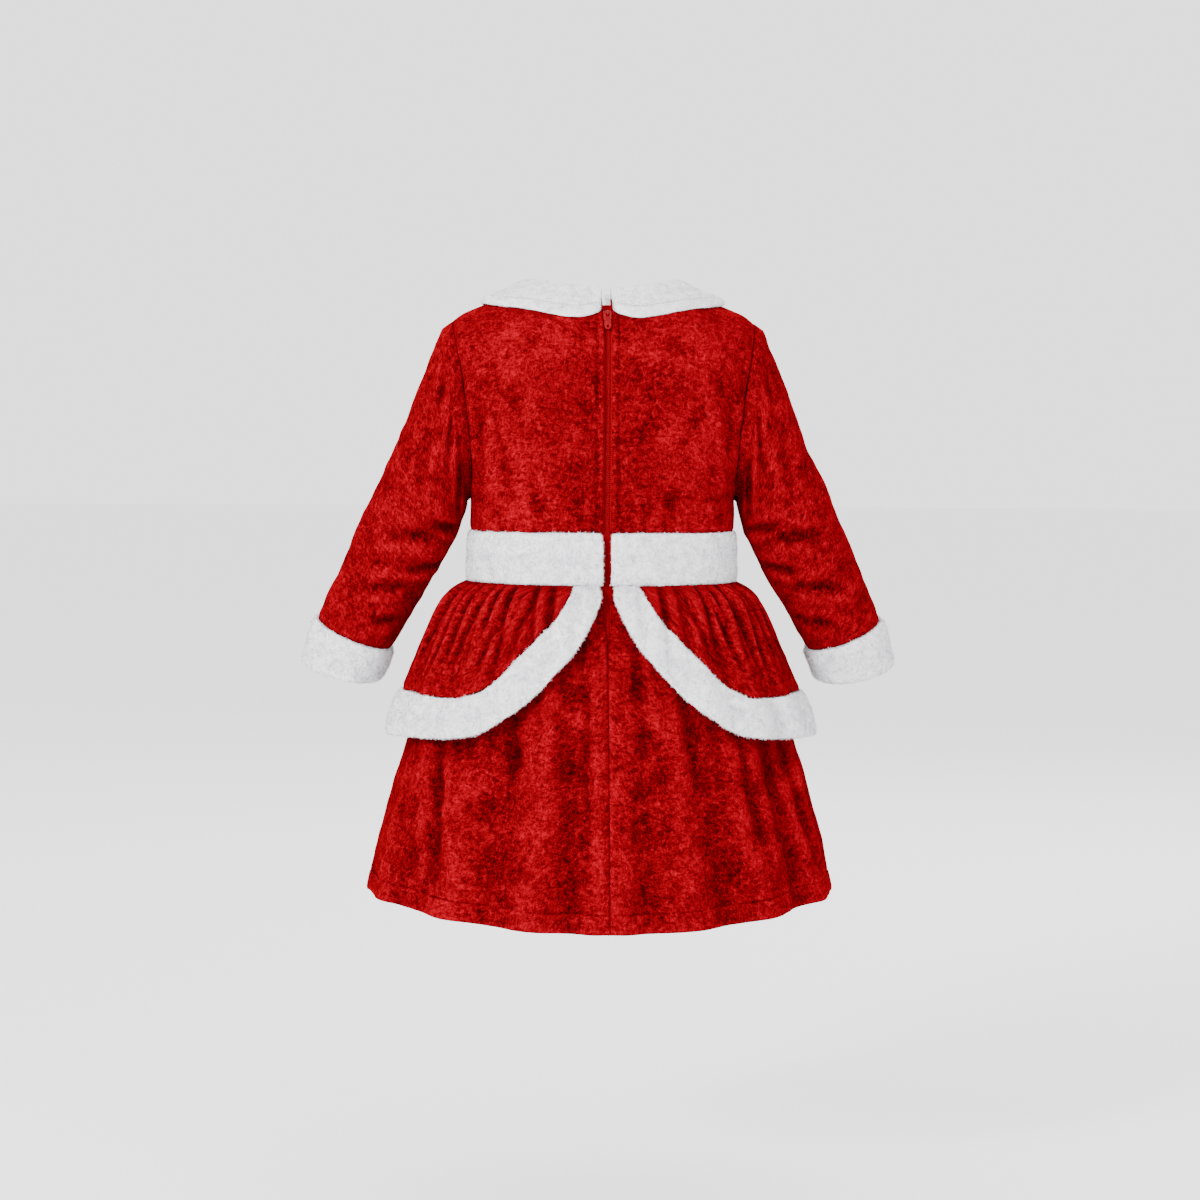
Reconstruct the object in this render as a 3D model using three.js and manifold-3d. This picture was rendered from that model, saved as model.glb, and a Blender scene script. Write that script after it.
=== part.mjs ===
// Christmas costume dress for a small child, in the hollow shape it has when worn.
// Crushed red velvet, with collar, waistband, cuffs and peplum trim of white fleece.
// Millimetres, +Z up. The front faces -Y and the back with its zip faces +Y, so the
// wearer's left is +X. The origin lies midway between the shoulders.

import * as THREE from 'three';
import { mergeVertices } from 'three/addons/utils/BufferGeometryUtils.js';
import Module from 'manifold-3d';

const DEGREE = Math.PI / 180;

// Cloth
const VELVET = 2.0;        // thickness of the velvet wall
const SEAM = 0.3;          // left open between two pieces sewn together

// Bodice
const WAIST = -184.5;      // height of the bodice's lower edge
const SHOULDER_TIP = -19;  // height of the armhole's top
const UNDERARM = -158;     // height of the armhole's foot
const SQUARE = 2.5;        // fuller than an ellipse, which is 2
const ROUND = { back: 55, front: 80 };      // how far below the shoulder line each side rounds over
const NECK = { side: 57, back: 44, front: 42 };  // half widths of the oval neckline, seen from above

const bodiceSections = [
  { z: -184.5, width: 104.6, armhole: 104.6, back: 78.0, front: 85.0 },
  { z: -172.0, width: 104.8, armhole: 104.8, back: 78.0, front: 84.5 },
  { z: -158.0, width: 104.8, armhole: 104.8, back: 78.0, front: 84.0 },
  { z: -150.0, width: 107.2, armhole: 105.0, back: 78.5, front: 84.0 },
  { z: -140.0, width: 110.2, armhole: 105.3, back: 79.0, front: 83.5 },
  { z: -120.0, width: 116.6, armhole: 106.3, back: 80.0, front: 83.0 },
  { z: -90.0, width: 121.8, armhole: 109.0, back: 80.5, front: 82.5 },
  { z: -60.0, width: 126.6, armhole: 113.6, back: 80.5, front: 82.0 },
  { z: -40.0, width: 131.6, armhole: 117.4, back: 80.0, front: 82.0 },
  { z: -19.0, width: 137.0, armhole: 120.5, back: 80.0, front: 82.0 },
  { z: 15.0, width: 143.0, armhole: 120.5, back: 80.0, front: 82.0 },
];
const shoulderLine = [
  { x: 0, z: 7.4 }, { x: 35, z: 7.4 }, { x: 57, z: 6.0 }, { x: 84, z: -1.2 },
  { x: 100, z: -7.2 }, { x: 112, z: -12.6 }, { x: 120.5, z: -19.0 },
];
const bodiceRows = [-184.5, -171, -159, -151, -141, -124, -102, -80, -60, -44, -32, -24.5, -20.3, -19];
const NECK_COLUMNS = 4;      // from the centre to the corner where neckline and shoulder meet
const SHOULDER_COLUMNS = 4;  // from there to the armhole
const SPREAD = { low: 90, high: 55, from: 0.17, over: 0.6 };  // angle a row covers, at waist and shoulder

// Sleeves: where each ring has its upper and under point, seen from behind
const sleeveRings = [
  { topX: 127.6, topZ: -24, underX: 107.5, underZ: -161, centreY: 0, depth: 45.5, lean: 0 },
  { topX: 135.1, topZ: -42, underX: 108.2, underZ: -165, centreY: 0, depth: 46, lean: 0 },
  { topX: 143.6, topZ: -64, underX: 109.4, underZ: -170, centreY: 0, depth: 45, lean: 0 },
  { topX: 154.6, topZ: -92, underX: 111.6, underZ: -178, centreY: 0, depth: 43, lean: 0 },
  { topX: 166.6, topZ: -122, underX: 115.2, underZ: -188, centreY: -1, depth: 41, lean: 2 },
  { topX: 180.6, topZ: -151, underX: 121.6, underZ: -200, centreY: -4, depth: 39, lean: 4 },
  { topX: 193.6, topZ: -179, underX: 129.6, underZ: -214, centreY: -9, depth: 37, lean: 7 },
  { topX: 205.6, topZ: -207, underX: 138.1, underZ: -228.5, centreY: -14, depth: 35.5, lean: 10 },
  { topX: 217.1, topZ: -233, underX: 152.6, underZ: -252.5, centreY: -20, depth: 33.5, lean: 12 },
  { topX: 227.1, topZ: -255.5, underX: 167.6, underZ: -279.0, centreY: -25, depth: 32, lean: 12 },
];
const SLEEVE_COLUMNS = 20;
const SLEEVE_WALL = 2.4;     // measured in the plane of a ring, which mostly lies aslant
const sleeveFolds = [
  // troughs, by ring, by turn round the sleeve from its upper side towards the back
  { ring: 3.2, turn: 95, depth: 2.6, rings: 0.7, spread: 60, slant: 0.010 },
  { ring: 5.0, turn: 140, depth: 2.4, rings: 0.6, spread: 55, slant: -0.008 },
  { ring: 6.6, turn: 75, depth: 1.8, rings: 0.6, spread: 50, slant: 0.010 },
  { ring: 3.6, turn: 270, depth: 2.4, rings: 0.7, spread: 60, slant: -0.010 },
  { ring: 5.8, turn: 240, depth: 2.2, rings: 0.6, spread: 50, slant: 0.008 },
];

// Cuffs
const cuffRings = {
  upper: { topX: 228.6, topZ: -256.2, underX: 167.6, underZ: -280.4, centreY: -25, depth: 32.5, lean: 12 },
  lower: { topX: 237.1, topZ: -291.5, underX: 178.1, underZ: -303.5, centreY: -32, depth: 33.5, lean: 12 },
};
const cuffProfile = [
  // along the cuff from its upper edge, how far out and how far in it stands
  { along: 0.00, out: 0.6, inward: 1.6 }, { along: 0.14, out: 2.6, inward: 2.6 },
  { along: 0.84, out: 3.0, inward: 2.8 }, { along: 1.00, out: 0.8, inward: 1.2 },
];

// Waistband
const BAND_FOOT = { side: -224.0, back: -225.4 };
const BAND_WALL = 3.5;
const bandSections = [
  { z: -225.4, width: 106.0, back: 80.5, front: 88.5 },
  { z: -184.5, width: 104.9, back: 79.4, front: 86.4 },
];
const BAND_SQUARE = 2.3;
const BAND_COLUMNS = 40;
const pillow = [
  // across a fleece band, how far its faces swell beyond its edges
  { across: 0.00, swell: 0.0 }, { across: 0.16, swell: 1.4 },
  { across: 0.84, swell: 1.4 }, { across: 1.00, swell: 0.0 },
];

// Peplum and skirt, each by its drop below the waistband
const peplumSections = [
  { drop: 0, width: 107.2, back: 81.7, front: 90.0, square: 2.3, gather: 0.5, wave: 0.0 },
  { drop: 7, width: 117.0, back: 90.0, front: 98.0, square: 2.2, gather: 1.9, wave: 0.2 },
  { drop: 14, width: 123.5, back: 95.5, front: 103.0, square: 2.15, gather: 2.4, wave: 0.5 },
  { drop: 26, width: 131.0, back: 101.5, front: 108.5, square: 2.1, gather: 2.2, wave: 0.9 },
  { drop: 52, width: 143.5, back: 112.0, front: 118.0, square: 2.0, gather: 1.4, wave: 1.7 },
  { drop: 78, width: 155.5, back: 121.5, front: 127.0, square: 2.0, gather: 0.6, wave: 2.3 },
  { drop: 103, width: 166.0, back: 129.5, front: 134.5, square: 2.0, gather: 0.0, wave: 2.6 },
  { drop: 125, width: 171.5, back: 134.0, front: 138.5, square: 2.0, gather: 0.0, wave: 2.4 },
];
const PEPLUM_GATHERS = 46;
const PEPLUM_WAVES = 23;
const skirtSections = [
  { drop: 0, width: 102.8, back: 77.3, front: 85.4, square: 2.3, gather: 0.2, wave: 0.0 },
  { drop: 8, width: 108.5, back: 82.5, front: 90.5, square: 2.2, gather: 0.9, wave: 0.0 },
  { drop: 20, width: 115.0, back: 87.5, front: 95.5, square: 2.1, gather: 1.1, wave: 0.3 },
  { drop: 52, width: 130.5, back: 99.5, front: 107.0, square: 2.0, gather: 0.9, wave: 1.2 },
  { drop: 78, width: 140.0, back: 107.5, front: 114.0, square: 2.0, gather: 0.3, wave: 2.2 },
  { drop: 103, width: 148.5, back: 114.5, front: 120.5, square: 2.0, gather: 0.0, wave: 2.8 },
  { drop: 129, width: 155.5, back: 120.5, front: 126.5, square: 2.0, gather: 0.0, wave: 3.4 },
  { drop: 167, width: 166.4, back: 129.5, front: 134.5, square: 2.0, gather: 0.0, wave: 3.8 },
  { drop: 205, width: 177.0, back: 138.0, front: 142.0, square: 2.0, gather: 0.0, wave: 4.2 },
  { drop: 275, width: 193.0, back: 154.0, front: 155.0, square: 2.0, gather: 0.0, wave: 4.8 },
];
const SKIRT_GATHERS = 48;
const SKIRT_WAVES = 16;
const HEM_DROP = { side: 247, back: 264, front: 256 };
const skirtRows = [0, 0.03, 0.08, 0.17, 0.3, 0.45, 0.62, 0.8, 1];  // parts of the way to the hem
const CALM = 9;              // the waves die out this many degrees from the zip
const UNEVEN = [
  // how the gathers differ in depth from one to the next: a few slow beats round the waist
  { beats: 5, start: 40, share: 0.25 }, { beats: 11, start: 10, share: 0.2 },
];
const WANDER = { beats: 3, angle: 60 };  // how the broad waves shift sideways from an even spacing

// Peplum edge: for each turn along the seam of the trim, where seam and outer edge lie
const trimEdge = [
  { turn: 11.0, seamDrop: 0.0, edgeTurn: 2.2, edgeDrop: 0.0 },
  { turn: 12.4, seamDrop: 7.5, edgeTurn: 1.9, edgeDrop: 9.0 },
  { turn: 14.5, seamDrop: 18.0, edgeTurn: 3.4, edgeDrop: 19.5 },
  { turn: 17.8, seamDrop: 28.3, edgeTurn: 6.8, edgeDrop: 36.0 },
  { turn: 22.1, seamDrop: 38.3, edgeTurn: 11.7, edgeDrop: 53.7 },
  { turn: 28.8, seamDrop: 56.8, edgeTurn: 18.2, edgeDrop: 73.7 },
  { turn: 35.1, seamDrop: 74.6, edgeTurn: 25.6, edgeDrop: 94.4 },
  { turn: 40.8, seamDrop: 84.0, edgeTurn: 32.3, edgeDrop: 107.6 },
  { turn: 46.0, seamDrop: 88.3, edgeTurn: 39.5, edgeDrop: 116.0 },
  { turn: 54.5, seamDrop: 88.8, edgeTurn: 50.2, edgeDrop: 119.5 },
  { turn: 75.0, seamDrop: 87.0, edgeTurn: 72.5, edgeDrop: 121.0 },
  { turn: 90.0, seamDrop: 87.0, edgeTurn: 90.0, edgeDrop: 122.0 },
];
const FRONT_SEAM = 87;
const FRONT_EDGE = 122;
const TRIM_SWELL = 2.0;      // how far the trim stands proud of each face of the peplum
const trimStart = [11.0, 11.7, 12.4, 13.5];   // turns of the first stations
const TRIM_EVEN_FROM = 15;
const BACK_TRIM_STEPS = 19;
const PANEL_ASIDE = 0.18;    // degrees between the steep part of the seam and the panel
const LEANING_COLUMNS = 5;
const FRONT_TRIM_STEPS = 46;
const peplumRows = [0, 0.07, 0.18, 0.36, 0.64, 1];
const trimProfile = [
  { across: 0.00, swell: -0.5 }, { across: 0.2, swell: 1.0 },
  { across: 0.8, swell: 1.0 }, { across: 1.00, swell: -0.2 },
];

// Collar, seen from above as the ring between the neckline and a larger oval
const COLLAR = { side: 97, back: 71, front: 71 };
const COLLAR_END = 3.5;      // degrees from the centre line to each end
const COLLAR_CORNER = 24;    // degrees over which an end rounds off
const COLLAR_END_WIDTH = 0.3;  // part of the full width that is left at an end
const COLLAR_COLUMNS = 16;
const collarUpper = [
  // part of the way from neck to edge, and height above the bodice
  { across: 0.00, lift: 0.7 }, { across: -0.03, lift: 5.0 }, { across: 0.00, lift: 8.6 },
  { across: 0.10, lift: 10.2 }, { across: 0.30, lift: 8.3 }, { across: 0.60, lift: 5.9 },
  { across: 0.88, lift: 5.8 }, { across: 0.98, lift: 4.6 }, { across: 1.00, lift: 2.6 },
];
const collarUnder = [
  { across: 0.08, lift: 0.7 }, { across: 0.08, lift: 2.8 }, { across: 0.09, lift: 4.8 },
  { across: 0.13, lift: 5.8 }, { across: 0.30, lift: 3.9 }, { across: 0.60, lift: 1.8 },
  { across: 0.86, lift: 0.8 }, { across: 0.94, lift: 0.8 }, { across: 0.98, lift: 1.2 },
];

// Zip
const ZIP_SLOT = 4.6;        // from the centre line to each folded edge of the bodice back
const BAND_SLOT = 3.4;       // the same in the waistband
const ZIP_TOP = -3;
const ZIP_FOOT = -300;
const zipSlot = [
  // how far below the waistband the slot in the skirt closes
  { drop: 0, half: 3.0 }, { drop: 22, half: 2.8 }, { drop: 45, half: 0.8 }, { drop: 76, half: 0.15 },
];
const ZIP_STEPS = 14;        // down the bodice
const zipDrops = [-12, -2, 3, 8, 14, 21, 32, 44, 60];   // stations below the waistband, and just above
const TAPE = { half: 8.0, face: 3.3, edgeFace: 3.9, back: 4.7 };  // half width, and depths below the velvet
const COIL = { half: 2.2, face: 0.9, gap: 0.3, sinks: 20 };  // it sinks to the tape this far down the skirt

const SLIDER = { z: -15.5, tilt: 42, width: 6.5, tail: 4.5, nose: 4.0, foot: -0.5, top: 2.2, end: 0.7 };
const CROWN = { width: 1.6, reach: 2.2, inside: 1.4, ceiling: 0.9, top: 1.7 };
const AXIS_OUT = 3.2;        // from the bodice's outer face to the pull's pivot
const PULL = { tilt: 31, width: 5.6, length: 15, thickness: 1.2, bar: 0.5, window: 1.2, windowFoot: 3.4 };
const PULL_HOLE = { down: 12.2, radius: 1.0 };

const velvet = new THREE.MeshStandardMaterial({ color: 0xa80410, roughness: 0.62, metalness: 0 });
const fleece = new THREE.MeshStandardMaterial({ color: 0xf0f0f3, roughness: 0.95, metalness: 0 });
const tape = new THREE.MeshStandardMaterial({ color: 0x8e0410, roughness: 0.8, metalness: 0 });
const enamel = new THREE.MeshStandardMaterial({ color: 0xa0060e, roughness: 0.35, metalness: 0.2 });

// Reads a column of a table at a value of its key, on a smooth curve with no overshoot
function read(rows, key, column, value) {
  const last = rows.length - 1;
  if (value <= rows[0][key]) return rows[0][column];
  if (value >= rows[last][key]) return rows[last][column];
  const slope = (i) => (rows[i + 1][column] - rows[i][column]) / (rows[i + 1][key] - rows[i][key]);
  const tangent = (i) => {
    if (i === 0) return slope(0);
    if (i === last) return slope(last - 1);
    const before = slope(i - 1);
    const after = slope(i);
    return before * after <= 0 ? 0 : (2 * before * after) / (before + after);
  };
  const i = rows.findIndex((row, at) => value < rows[at + 1][key]);
  const step = rows[i + 1][key] - rows[i][key];
  const t = (value - rows[i][key]) / step;
  return rows[i][column] * (1 + 2 * t) * (1 - t) ** 2 + rows[i + 1][column] * t * t * (3 - 2 * t)
    + step * (tangent(i) * t * (1 - t) ** 2 - tangent(i + 1) * t * t * (1 - t));
}

const mix = (a, b, t) => a + (b - a) * t;

// Closed body from a grid of outer points and one of inner points, both [row][column]
function wall(outer, inner, round = false) {
  const rows = outer.length;
  const columns = outer[0].length;
  const points = [...outer.flat(), ...inner.flat()];
  const out = (i, j) => i * columns + (j % columns);
  const inn = (i, j) => rows * columns + out(i, j);
  const faces = [];
  const quad = (a, b, c, d) => faces.push(a, b, c, a, c, d);
  const lastColumn = round ? columns : columns - 1;
  for (let j = 0; j < lastColumn; j += 1) {
    for (let i = 0; i < rows - 1; i += 1) {
      quad(out(i, j), out(i, j + 1), out(i + 1, j + 1), out(i + 1, j));
      quad(inn(i, j), inn(i + 1, j), inn(i + 1, j + 1), inn(i, j + 1));
    }
    quad(out(0, j + 1), out(0, j), inn(0, j), inn(0, j + 1));
    quad(out(rows - 1, j), out(rows - 1, j + 1), inn(rows - 1, j + 1), inn(rows - 1, j));
  }
  if (!round) {
    for (let i = 0; i < rows - 1; i += 1) {
      quad(out(i, 0), out(i + 1, 0), inn(i + 1, 0), inn(i, 0));
      quad(out(i + 1, lastColumn), out(i, lastColumn), inn(i, lastColumn), inn(i + 1, lastColumn));
    }
  }
  return body(points, faces);
}

// Closed body through equal outlines, with flat ends; flat holds the outline in its own plane
function loft(outlines, flat) {
  const size = flat.length;
  const faces = [];
  for (let i = 0; i < outlines.length - 1; i += 1) {
    for (let k = 0; k < size; k += 1) {
      const next = (k + 1) % size;
      const [a, b, c, d] = [i * size + k, i * size + next, (i + 1) * size + next, (i + 1) * size + k];
      faces.push(a, b, c, a, c, d);
    }
  }
  const end = (outlines.length - 1) * size;
  for (const [a, b, c] of THREE.ShapeUtils.triangulateShape(flat, [])) {
    faces.push(a, c, b, end + a, end + b, end + c);
  }
  return body(outlines.flat(), faces);
}

// Geometry with its faces turned outwards
function body(points, faces) {
  let volume = 0;
  const normal = new THREE.Vector3();
  for (let i = 0; i < faces.length; i += 3) {
    const [a, b, c] = [points[faces[i]], points[faces[i + 1]], points[faces[i + 2]]];
    volume += a.dot(normal.crossVectors(b, c));
  }
  const index = volume > 0 ? faces : faces.reverse();
  const geometry = new THREE.BufferGeometry().setFromPoints(points);
  geometry.setIndex(index);
  geometry.computeVertexNormals();
  return geometry;
}

const mirrored = (grid) => grid.map((row) => row.map((p) => new THREE.Vector3(-p.x, p.y, p.z)));

// Point of a round section: the same half width to both sides, one depth to the back, one to
// the front. turn is 0 at the centre of the back and 90 on the wearer's left.
function onSection({ width, back, front, square }, turn, z, out = 0) {
  const full = (part) => Math.sign(part) * Math.abs(part) ** (2 / square);
  const across = full(Math.sin(turn * DEGREE));
  const along = full(Math.cos(turn * DEGREE));
  return new THREE.Vector3((width + out) * across, ((along > 0 ? back : front) + out) * along, z);
}

// Bodice

const shoulderHeight = (x) => read(shoulderLine, 'x', 'z', Math.abs(x));

// How far the body's surface stands behind or before the shoulder line, at a place seen flat
function bodyDepth(side, x, z) {
  const across = Math.min(1, Math.abs(x) / read(bodiceSections, 'z', 'width', z));
  const over = Math.min(1, Math.max(0, (shoulderHeight(x) - z) / ROUND[side]));
  return read(bodiceSections, 'z', side, z)
    * (1 - across ** SQUARE) ** (1 / SQUARE) * Math.sqrt(1 - (1 - over) ** 2);
}

// Height of the body's surface over a place seen from above
function bodyHeight(x, y) {
  const side = y > 0 ? 'back' : 'front';
  let z = shoulderHeight(x);
  for (let pass = 0; pass < 8; pass += 1) {
    const across = Math.min(1, Math.abs(x) / read(bodiceSections, 'z', 'width', z));
    const reach = read(bodiceSections, 'z', side, z) * (1 - across ** SQUARE) ** (1 / SQUARE);
    const part = Math.min(1, Math.abs(y) / reach);
    z = shoulderHeight(x) - ROUND[side] * (1 - Math.sqrt(1 - part * part));
  }
  return z;
}

// Height of the top of a bodice panel: the neckline, then the shoulder line
function panelTop(side, x) {
  if (x >= NECK.side) return shoulderHeight(x);
  const y = NECK[side] * Math.sqrt(1 - (x / NECK.side) ** 2);
  return bodyHeight(x, side === 'back' ? y : -y);
}

// Outer points of a bodice panel from the slot at the centre, or from the centre, to its side
function bodicePanel(side, slot) {
  const sign = side === 'back' ? 1 : -1;
  const spread = (part) => (
    mix(SPREAD.low, SPREAD.high, Math.min(1, Math.max(0, (part - SPREAD.from) / SPREAD.over))));
  const corner = Math.asin(((NECK.side - slot) / (bodiceSections.at(-1).armhole - slot))
    * Math.sin(SPREAD.high * DEGREE)) / (SPREAD.high * DEGREE);
  const parts = [];
  for (let j = 0; j < NECK_COLUMNS; j += 1) parts.push((corner * j) / NECK_COLUMNS);
  for (let j = 0; j <= SHOULDER_COLUMNS; j += 1) parts.push(mix(corner, 1, j / SHOULDER_COLUMNS));
  return bodiceRows.map((rowZ) => {
    const rise = (rowZ - WAIST) / (SHOULDER_TIP - WAIST);
    const placed = (part, at, height) => {
      const reach = read(bodiceSections, 'z', 'armhole', height) - slot;
      return slot + (reach * Math.sin(part * spread(at) * DEGREE)) / Math.sin(spread(at) * DEGREE);
    };
    return parts.map((part) => {
      const x = placed(part, rise, rowZ);
      const z = mix(WAIST, panelTop(side, placed(part, 1, SHOULDER_TIP)), rise);
      return new THREE.Vector3(x, sign * (bodyDepth(side, x, z) + SEAM / 2), z);
    });
  });
}

// Moves the points of an open grid along its normals. A point on the seam between front and
// back stays in the plane of that seam.
function moved(grid, distance) {
  const within = (list, i) => list[Math.min(list.length - 1, Math.max(0, i))];
  const at = (i, j) => within(within(grid, i), j);
  const middle = grid[Math.floor(grid.length / 2)][Math.floor(grid[0].length / 2)];
  return grid.map((row, i) => row.map((p, j) => {
    const along = at(i, j + 1).clone().sub(at(i, j - 1));
    const up = at(i + 1, j).clone().sub(at(i - 1, j));
    const normal = along.cross(up);
    if (normal.y * middle.y < 0) normal.negate();
    if (Math.abs(p.y) <= SEAM) normal.y = 0;
    return p.clone().addScaledVector(normal.normalize(), distance);
  }));
}

function bodice() {
  const back = bodicePanel('back', ZIP_SLOT);
  const half = bodicePanel('front', 0);
  const front = half.map((row, i) => [...mirrored(half)[i].reverse(), ...row.slice(1)]);
  return [
    ['bodice_front', wall(front, moved(front, -VELVET)), velvet],
    ['bodice_back_left', wall(back, moved(back, -VELVET)), velvet],
    ['bodice_back_right', wall(mirrored(back), mirrored(moved(back, -VELVET))), velvet],
  ];
}

// Sleeves

// Point of a ring, turned from its upper side towards the back
function onRing({ topX, topZ, underX, underZ, centreY, depth, lean }, turn, out) {
  const halfX = (topX - underX) / 2;
  const halfZ = (topZ - underZ) / 2;
  const along = (1 + out / Math.hypot(halfX, halfZ)) * Math.cos(turn * DEGREE);
  const across = (depth + out) * Math.sin(turn * DEGREE);
  return new THREE.Vector3(
    topX - halfX + halfX * along,
    centreY + across * Math.cos(lean * DEGREE),
    topZ - halfZ + halfZ * along - across * Math.sin(lean * DEGREE),
  );
}

// Point of the armhole, or of the same outline drawn in by a distance
function onArmhole(turn, inward) {
  const radius = (SHOULDER_TIP - UNDERARM) / 2;
  const z = UNDERARM + radius * (1 + Math.cos(turn * DEGREE));
  const side = turn < 180 ? 'back' : 'front';
  const edge = read(bodiceSections, 'z', 'armhole', z);
  const depth = bodyDepth(side, edge, z);
  const y = (turn < 180 ? 1 : -1) * depth;
  return new THREE.Vector3(
    edge + SEAM,
    y - inward * Math.sin(turn * DEGREE),
    z - inward * Math.cos(turn * DEGREE),
  );
}

function sleeveFold(ring, turn) {
  let depth = 0;
  for (const fold of sleeveFolds) {
    const past = ring - fold.ring - fold.slant * (turn - fold.turn);
    const aside = (turn - fold.turn) / fold.spread;
    depth -= fold.depth * Math.exp(-((past / fold.rings) ** 2) - aside * aside);
  }
  return depth;
}

function sleeve() {
  const turns = Array.from({ length: SLEEVE_COLUMNS }, (_, j) => (360 * j) / SLEEVE_COLUMNS);
  const rows = (inward) => [
    turns.map((turn) => onArmhole(turn, inward)),
    ...sleeveRings.map((ring, i) => turns.map((turn) => onRing(ring, turn, sleeveFold(i, turn) - inward))),
  ];
  return [rows(0), rows(SLEEVE_WALL)];
}

function cuff() {
  const turns = Array.from({ length: SLEEVE_COLUMNS }, (_, j) => (360 * j) / SLEEVE_COLUMNS);
  const rows = (face, sign) => cuffProfile.map((profile) => turns.map((turn) => {
    const upper = onRing(cuffRings.upper, turn, sign * profile[face]);
    return upper.lerp(onRing(cuffRings.lower, turn, sign * profile[face]), profile.along);
  }));
  return [rows('out', 1), rows('inward', -1)];
}

function sleeves() {
  const [sleeveOut, sleeveIn] = sleeve();
  const [cuffOut, cuffIn] = cuff();
  return [
    ['sleeve_left', wall(sleeveOut, sleeveIn, true), velvet],
    ['sleeve_right', wall(mirrored(sleeveOut), mirrored(sleeveIn), true), velvet],
    ['cuff_left', wall(cuffOut, cuffIn, true), fleece],
    ['cuff_right', wall(mirrored(cuffOut), mirrored(cuffIn), true), fleece],
  ];
}

// Values from one to another in equal steps
function steps(from, to, count) {
  return Array.from({ length: count + 1 }, (_, j) => mix(from, to, j / count));
}

// Keeps a piece of the back, or of the front, half a seam clear of the plane between them
function keptTo(side, grid) {
  for (const p of grid.flat()) {
    p.y = side === 'back' ? Math.max(p.y, SEAM / 2) : Math.min(p.y, -SEAM / 2);
  }
  return grid;
}

// Waistband

const bandFoot = (turn) => mix(BAND_FOOT.side, BAND_FOOT.back, Math.cos(turn * DEGREE) ** 2);

function bandGrid(turns, slot, face) {
  return pillow.map(({ across, swell }) => turns.map((turn) => {
    const z = mix(WAIST - SEAM, bandFoot(turn), across);
    const section = { square: BAND_SQUARE };
    for (const column of ['width', 'back', 'front']) section[column] = read(bandSections, 'z', column, z);
    const p = onSection(section, turn, z, face > 0 ? swell : -BAND_WALL);
    if (turn < 90) p.x = Math.max(p.x, slot);
    return p;
  }));
}

function waistband() {
  const backTurns = steps(0, 90, BAND_COLUMNS / 4);
  const frontTurns = steps(90, 270, BAND_COLUMNS / 2);
  const back = [1, -1].map((face) => keptTo('back', bandGrid(backTurns, BAND_SLOT, face)));
  const front = [1, -1].map((face) => keptTo('front', bandGrid(frontTurns, 0, face)));
  return [
    ['waistband_front', wall(front[0], front[1]), fleece],
    ['waistband_back_left', wall(back[0], back[1]), fleece],
    ['waistband_back_right', wall(mirrored(back[0]), mirrored(back[1])), fleece],
  ];
}

// Peplum and skirt

const seamTop = (turn) => bandFoot(turn) - SEAM;

function uneven(turn) {
  return UNEVEN.reduce((sum, { beats, start, share }) => (
    sum + share * Math.sin((beats * turn + start) * DEGREE)), 1);
}

// Point of a gathered cloth that hangs from the waistband
function onHanging(sections, gathers, waves, turn, drop, out) {
  const section = {};
  for (const column of ['width', 'back', 'front', 'square', 'gather', 'wave']) {
    section[column] = read(sections, 'drop', column, drop);
  }
  const aside = Math.min(turn, 360 - turn) / CALM;
  const calm = aside < 1 ? aside * aside * (3 - 2 * aside) : 1;
  const wander = WANDER.angle * Math.sin(WANDER.beats * turn * DEGREE);
  const ripple = calm * uneven(turn) * (section.gather * Math.cos(gathers * turn * DEGREE)
    + section.wave * Math.cos((waves * turn + wander) * DEGREE));
  return onSection(section, turn, seamTop(turn) - drop, ripple + out);
}

const onPeplum = (turn, drop, out) => (
  onHanging(peplumSections, PEPLUM_GATHERS, PEPLUM_WAVES, turn, drop, out));
const onSkirt = (turn, drop, out) => (
  onHanging(skirtSections, SKIRT_GATHERS, SKIRT_WAVES, turn, drop, out));

function hemDrop(turn) {
  const along = Math.cos(turn * DEGREE);
  return mix(HEM_DROP.side, along > 0 ? HEM_DROP.back : HEM_DROP.front, along * along);
}

function skirtGrid(turns, out) {
  return skirtRows.map((part) => turns.map((turn) => onSkirt(turn, part * hemDrop(turn), out)));
}

// Opens the skirt back for the zip: its first column follows the slot instead of the centre
function slotted(grid) {
  return grid.map((row, i) => {
    const half = read(zipSlot, 'drop', 'half', skirtRows[i] * HEM_DROP.back);
    const [first, ...others] = row;
    return [new THREE.Vector3(half, first.y, first.z), ...others];
  });
}

function skirt() {
  const backTurns = steps(0, 90, SKIRT_GATHERS / 2);
  const frontTurns = steps(90, 270, SKIRT_GATHERS);
  const back = [0, -VELVET].map((out) => keptTo('back', slotted(skirtGrid(backTurns, out))));
  const front = [0, -VELVET].map((out) => keptTo('front', skirtGrid(frontTurns, out)));
  return [
    ['skirt_front', wall(front[0], front[1]), velvet],
    ['skirt_back_left', wall(back[0], back[1]), velvet],
    ['skirt_back_right', wall(mirrored(back[0]), mirrored(back[1])), velvet],
  ];
}

// Stations along the seam between peplum and trim, closer where the trim starts
function backStations() {
  const station = (turn) => ({
    turn,
    seamDrop: read(trimEdge, 'turn', 'seamDrop', turn),
    edgeTurn: read(trimEdge, 'turn', 'edgeTurn', turn),
    edgeDrop: read(trimEdge, 'turn', 'edgeDrop', turn),
  });
  return [...trimStart, ...steps(TRIM_EVEN_FROM, 90, BACK_TRIM_STEPS)].map(station);
}

function frontStations() {
  return steps(90, 270, FRONT_TRIM_STEPS).map((turn) => (
    { turn, seamDrop: FRONT_SEAM, edgeTurn: turn, edgeDrop: FRONT_EDGE }));
}

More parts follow.
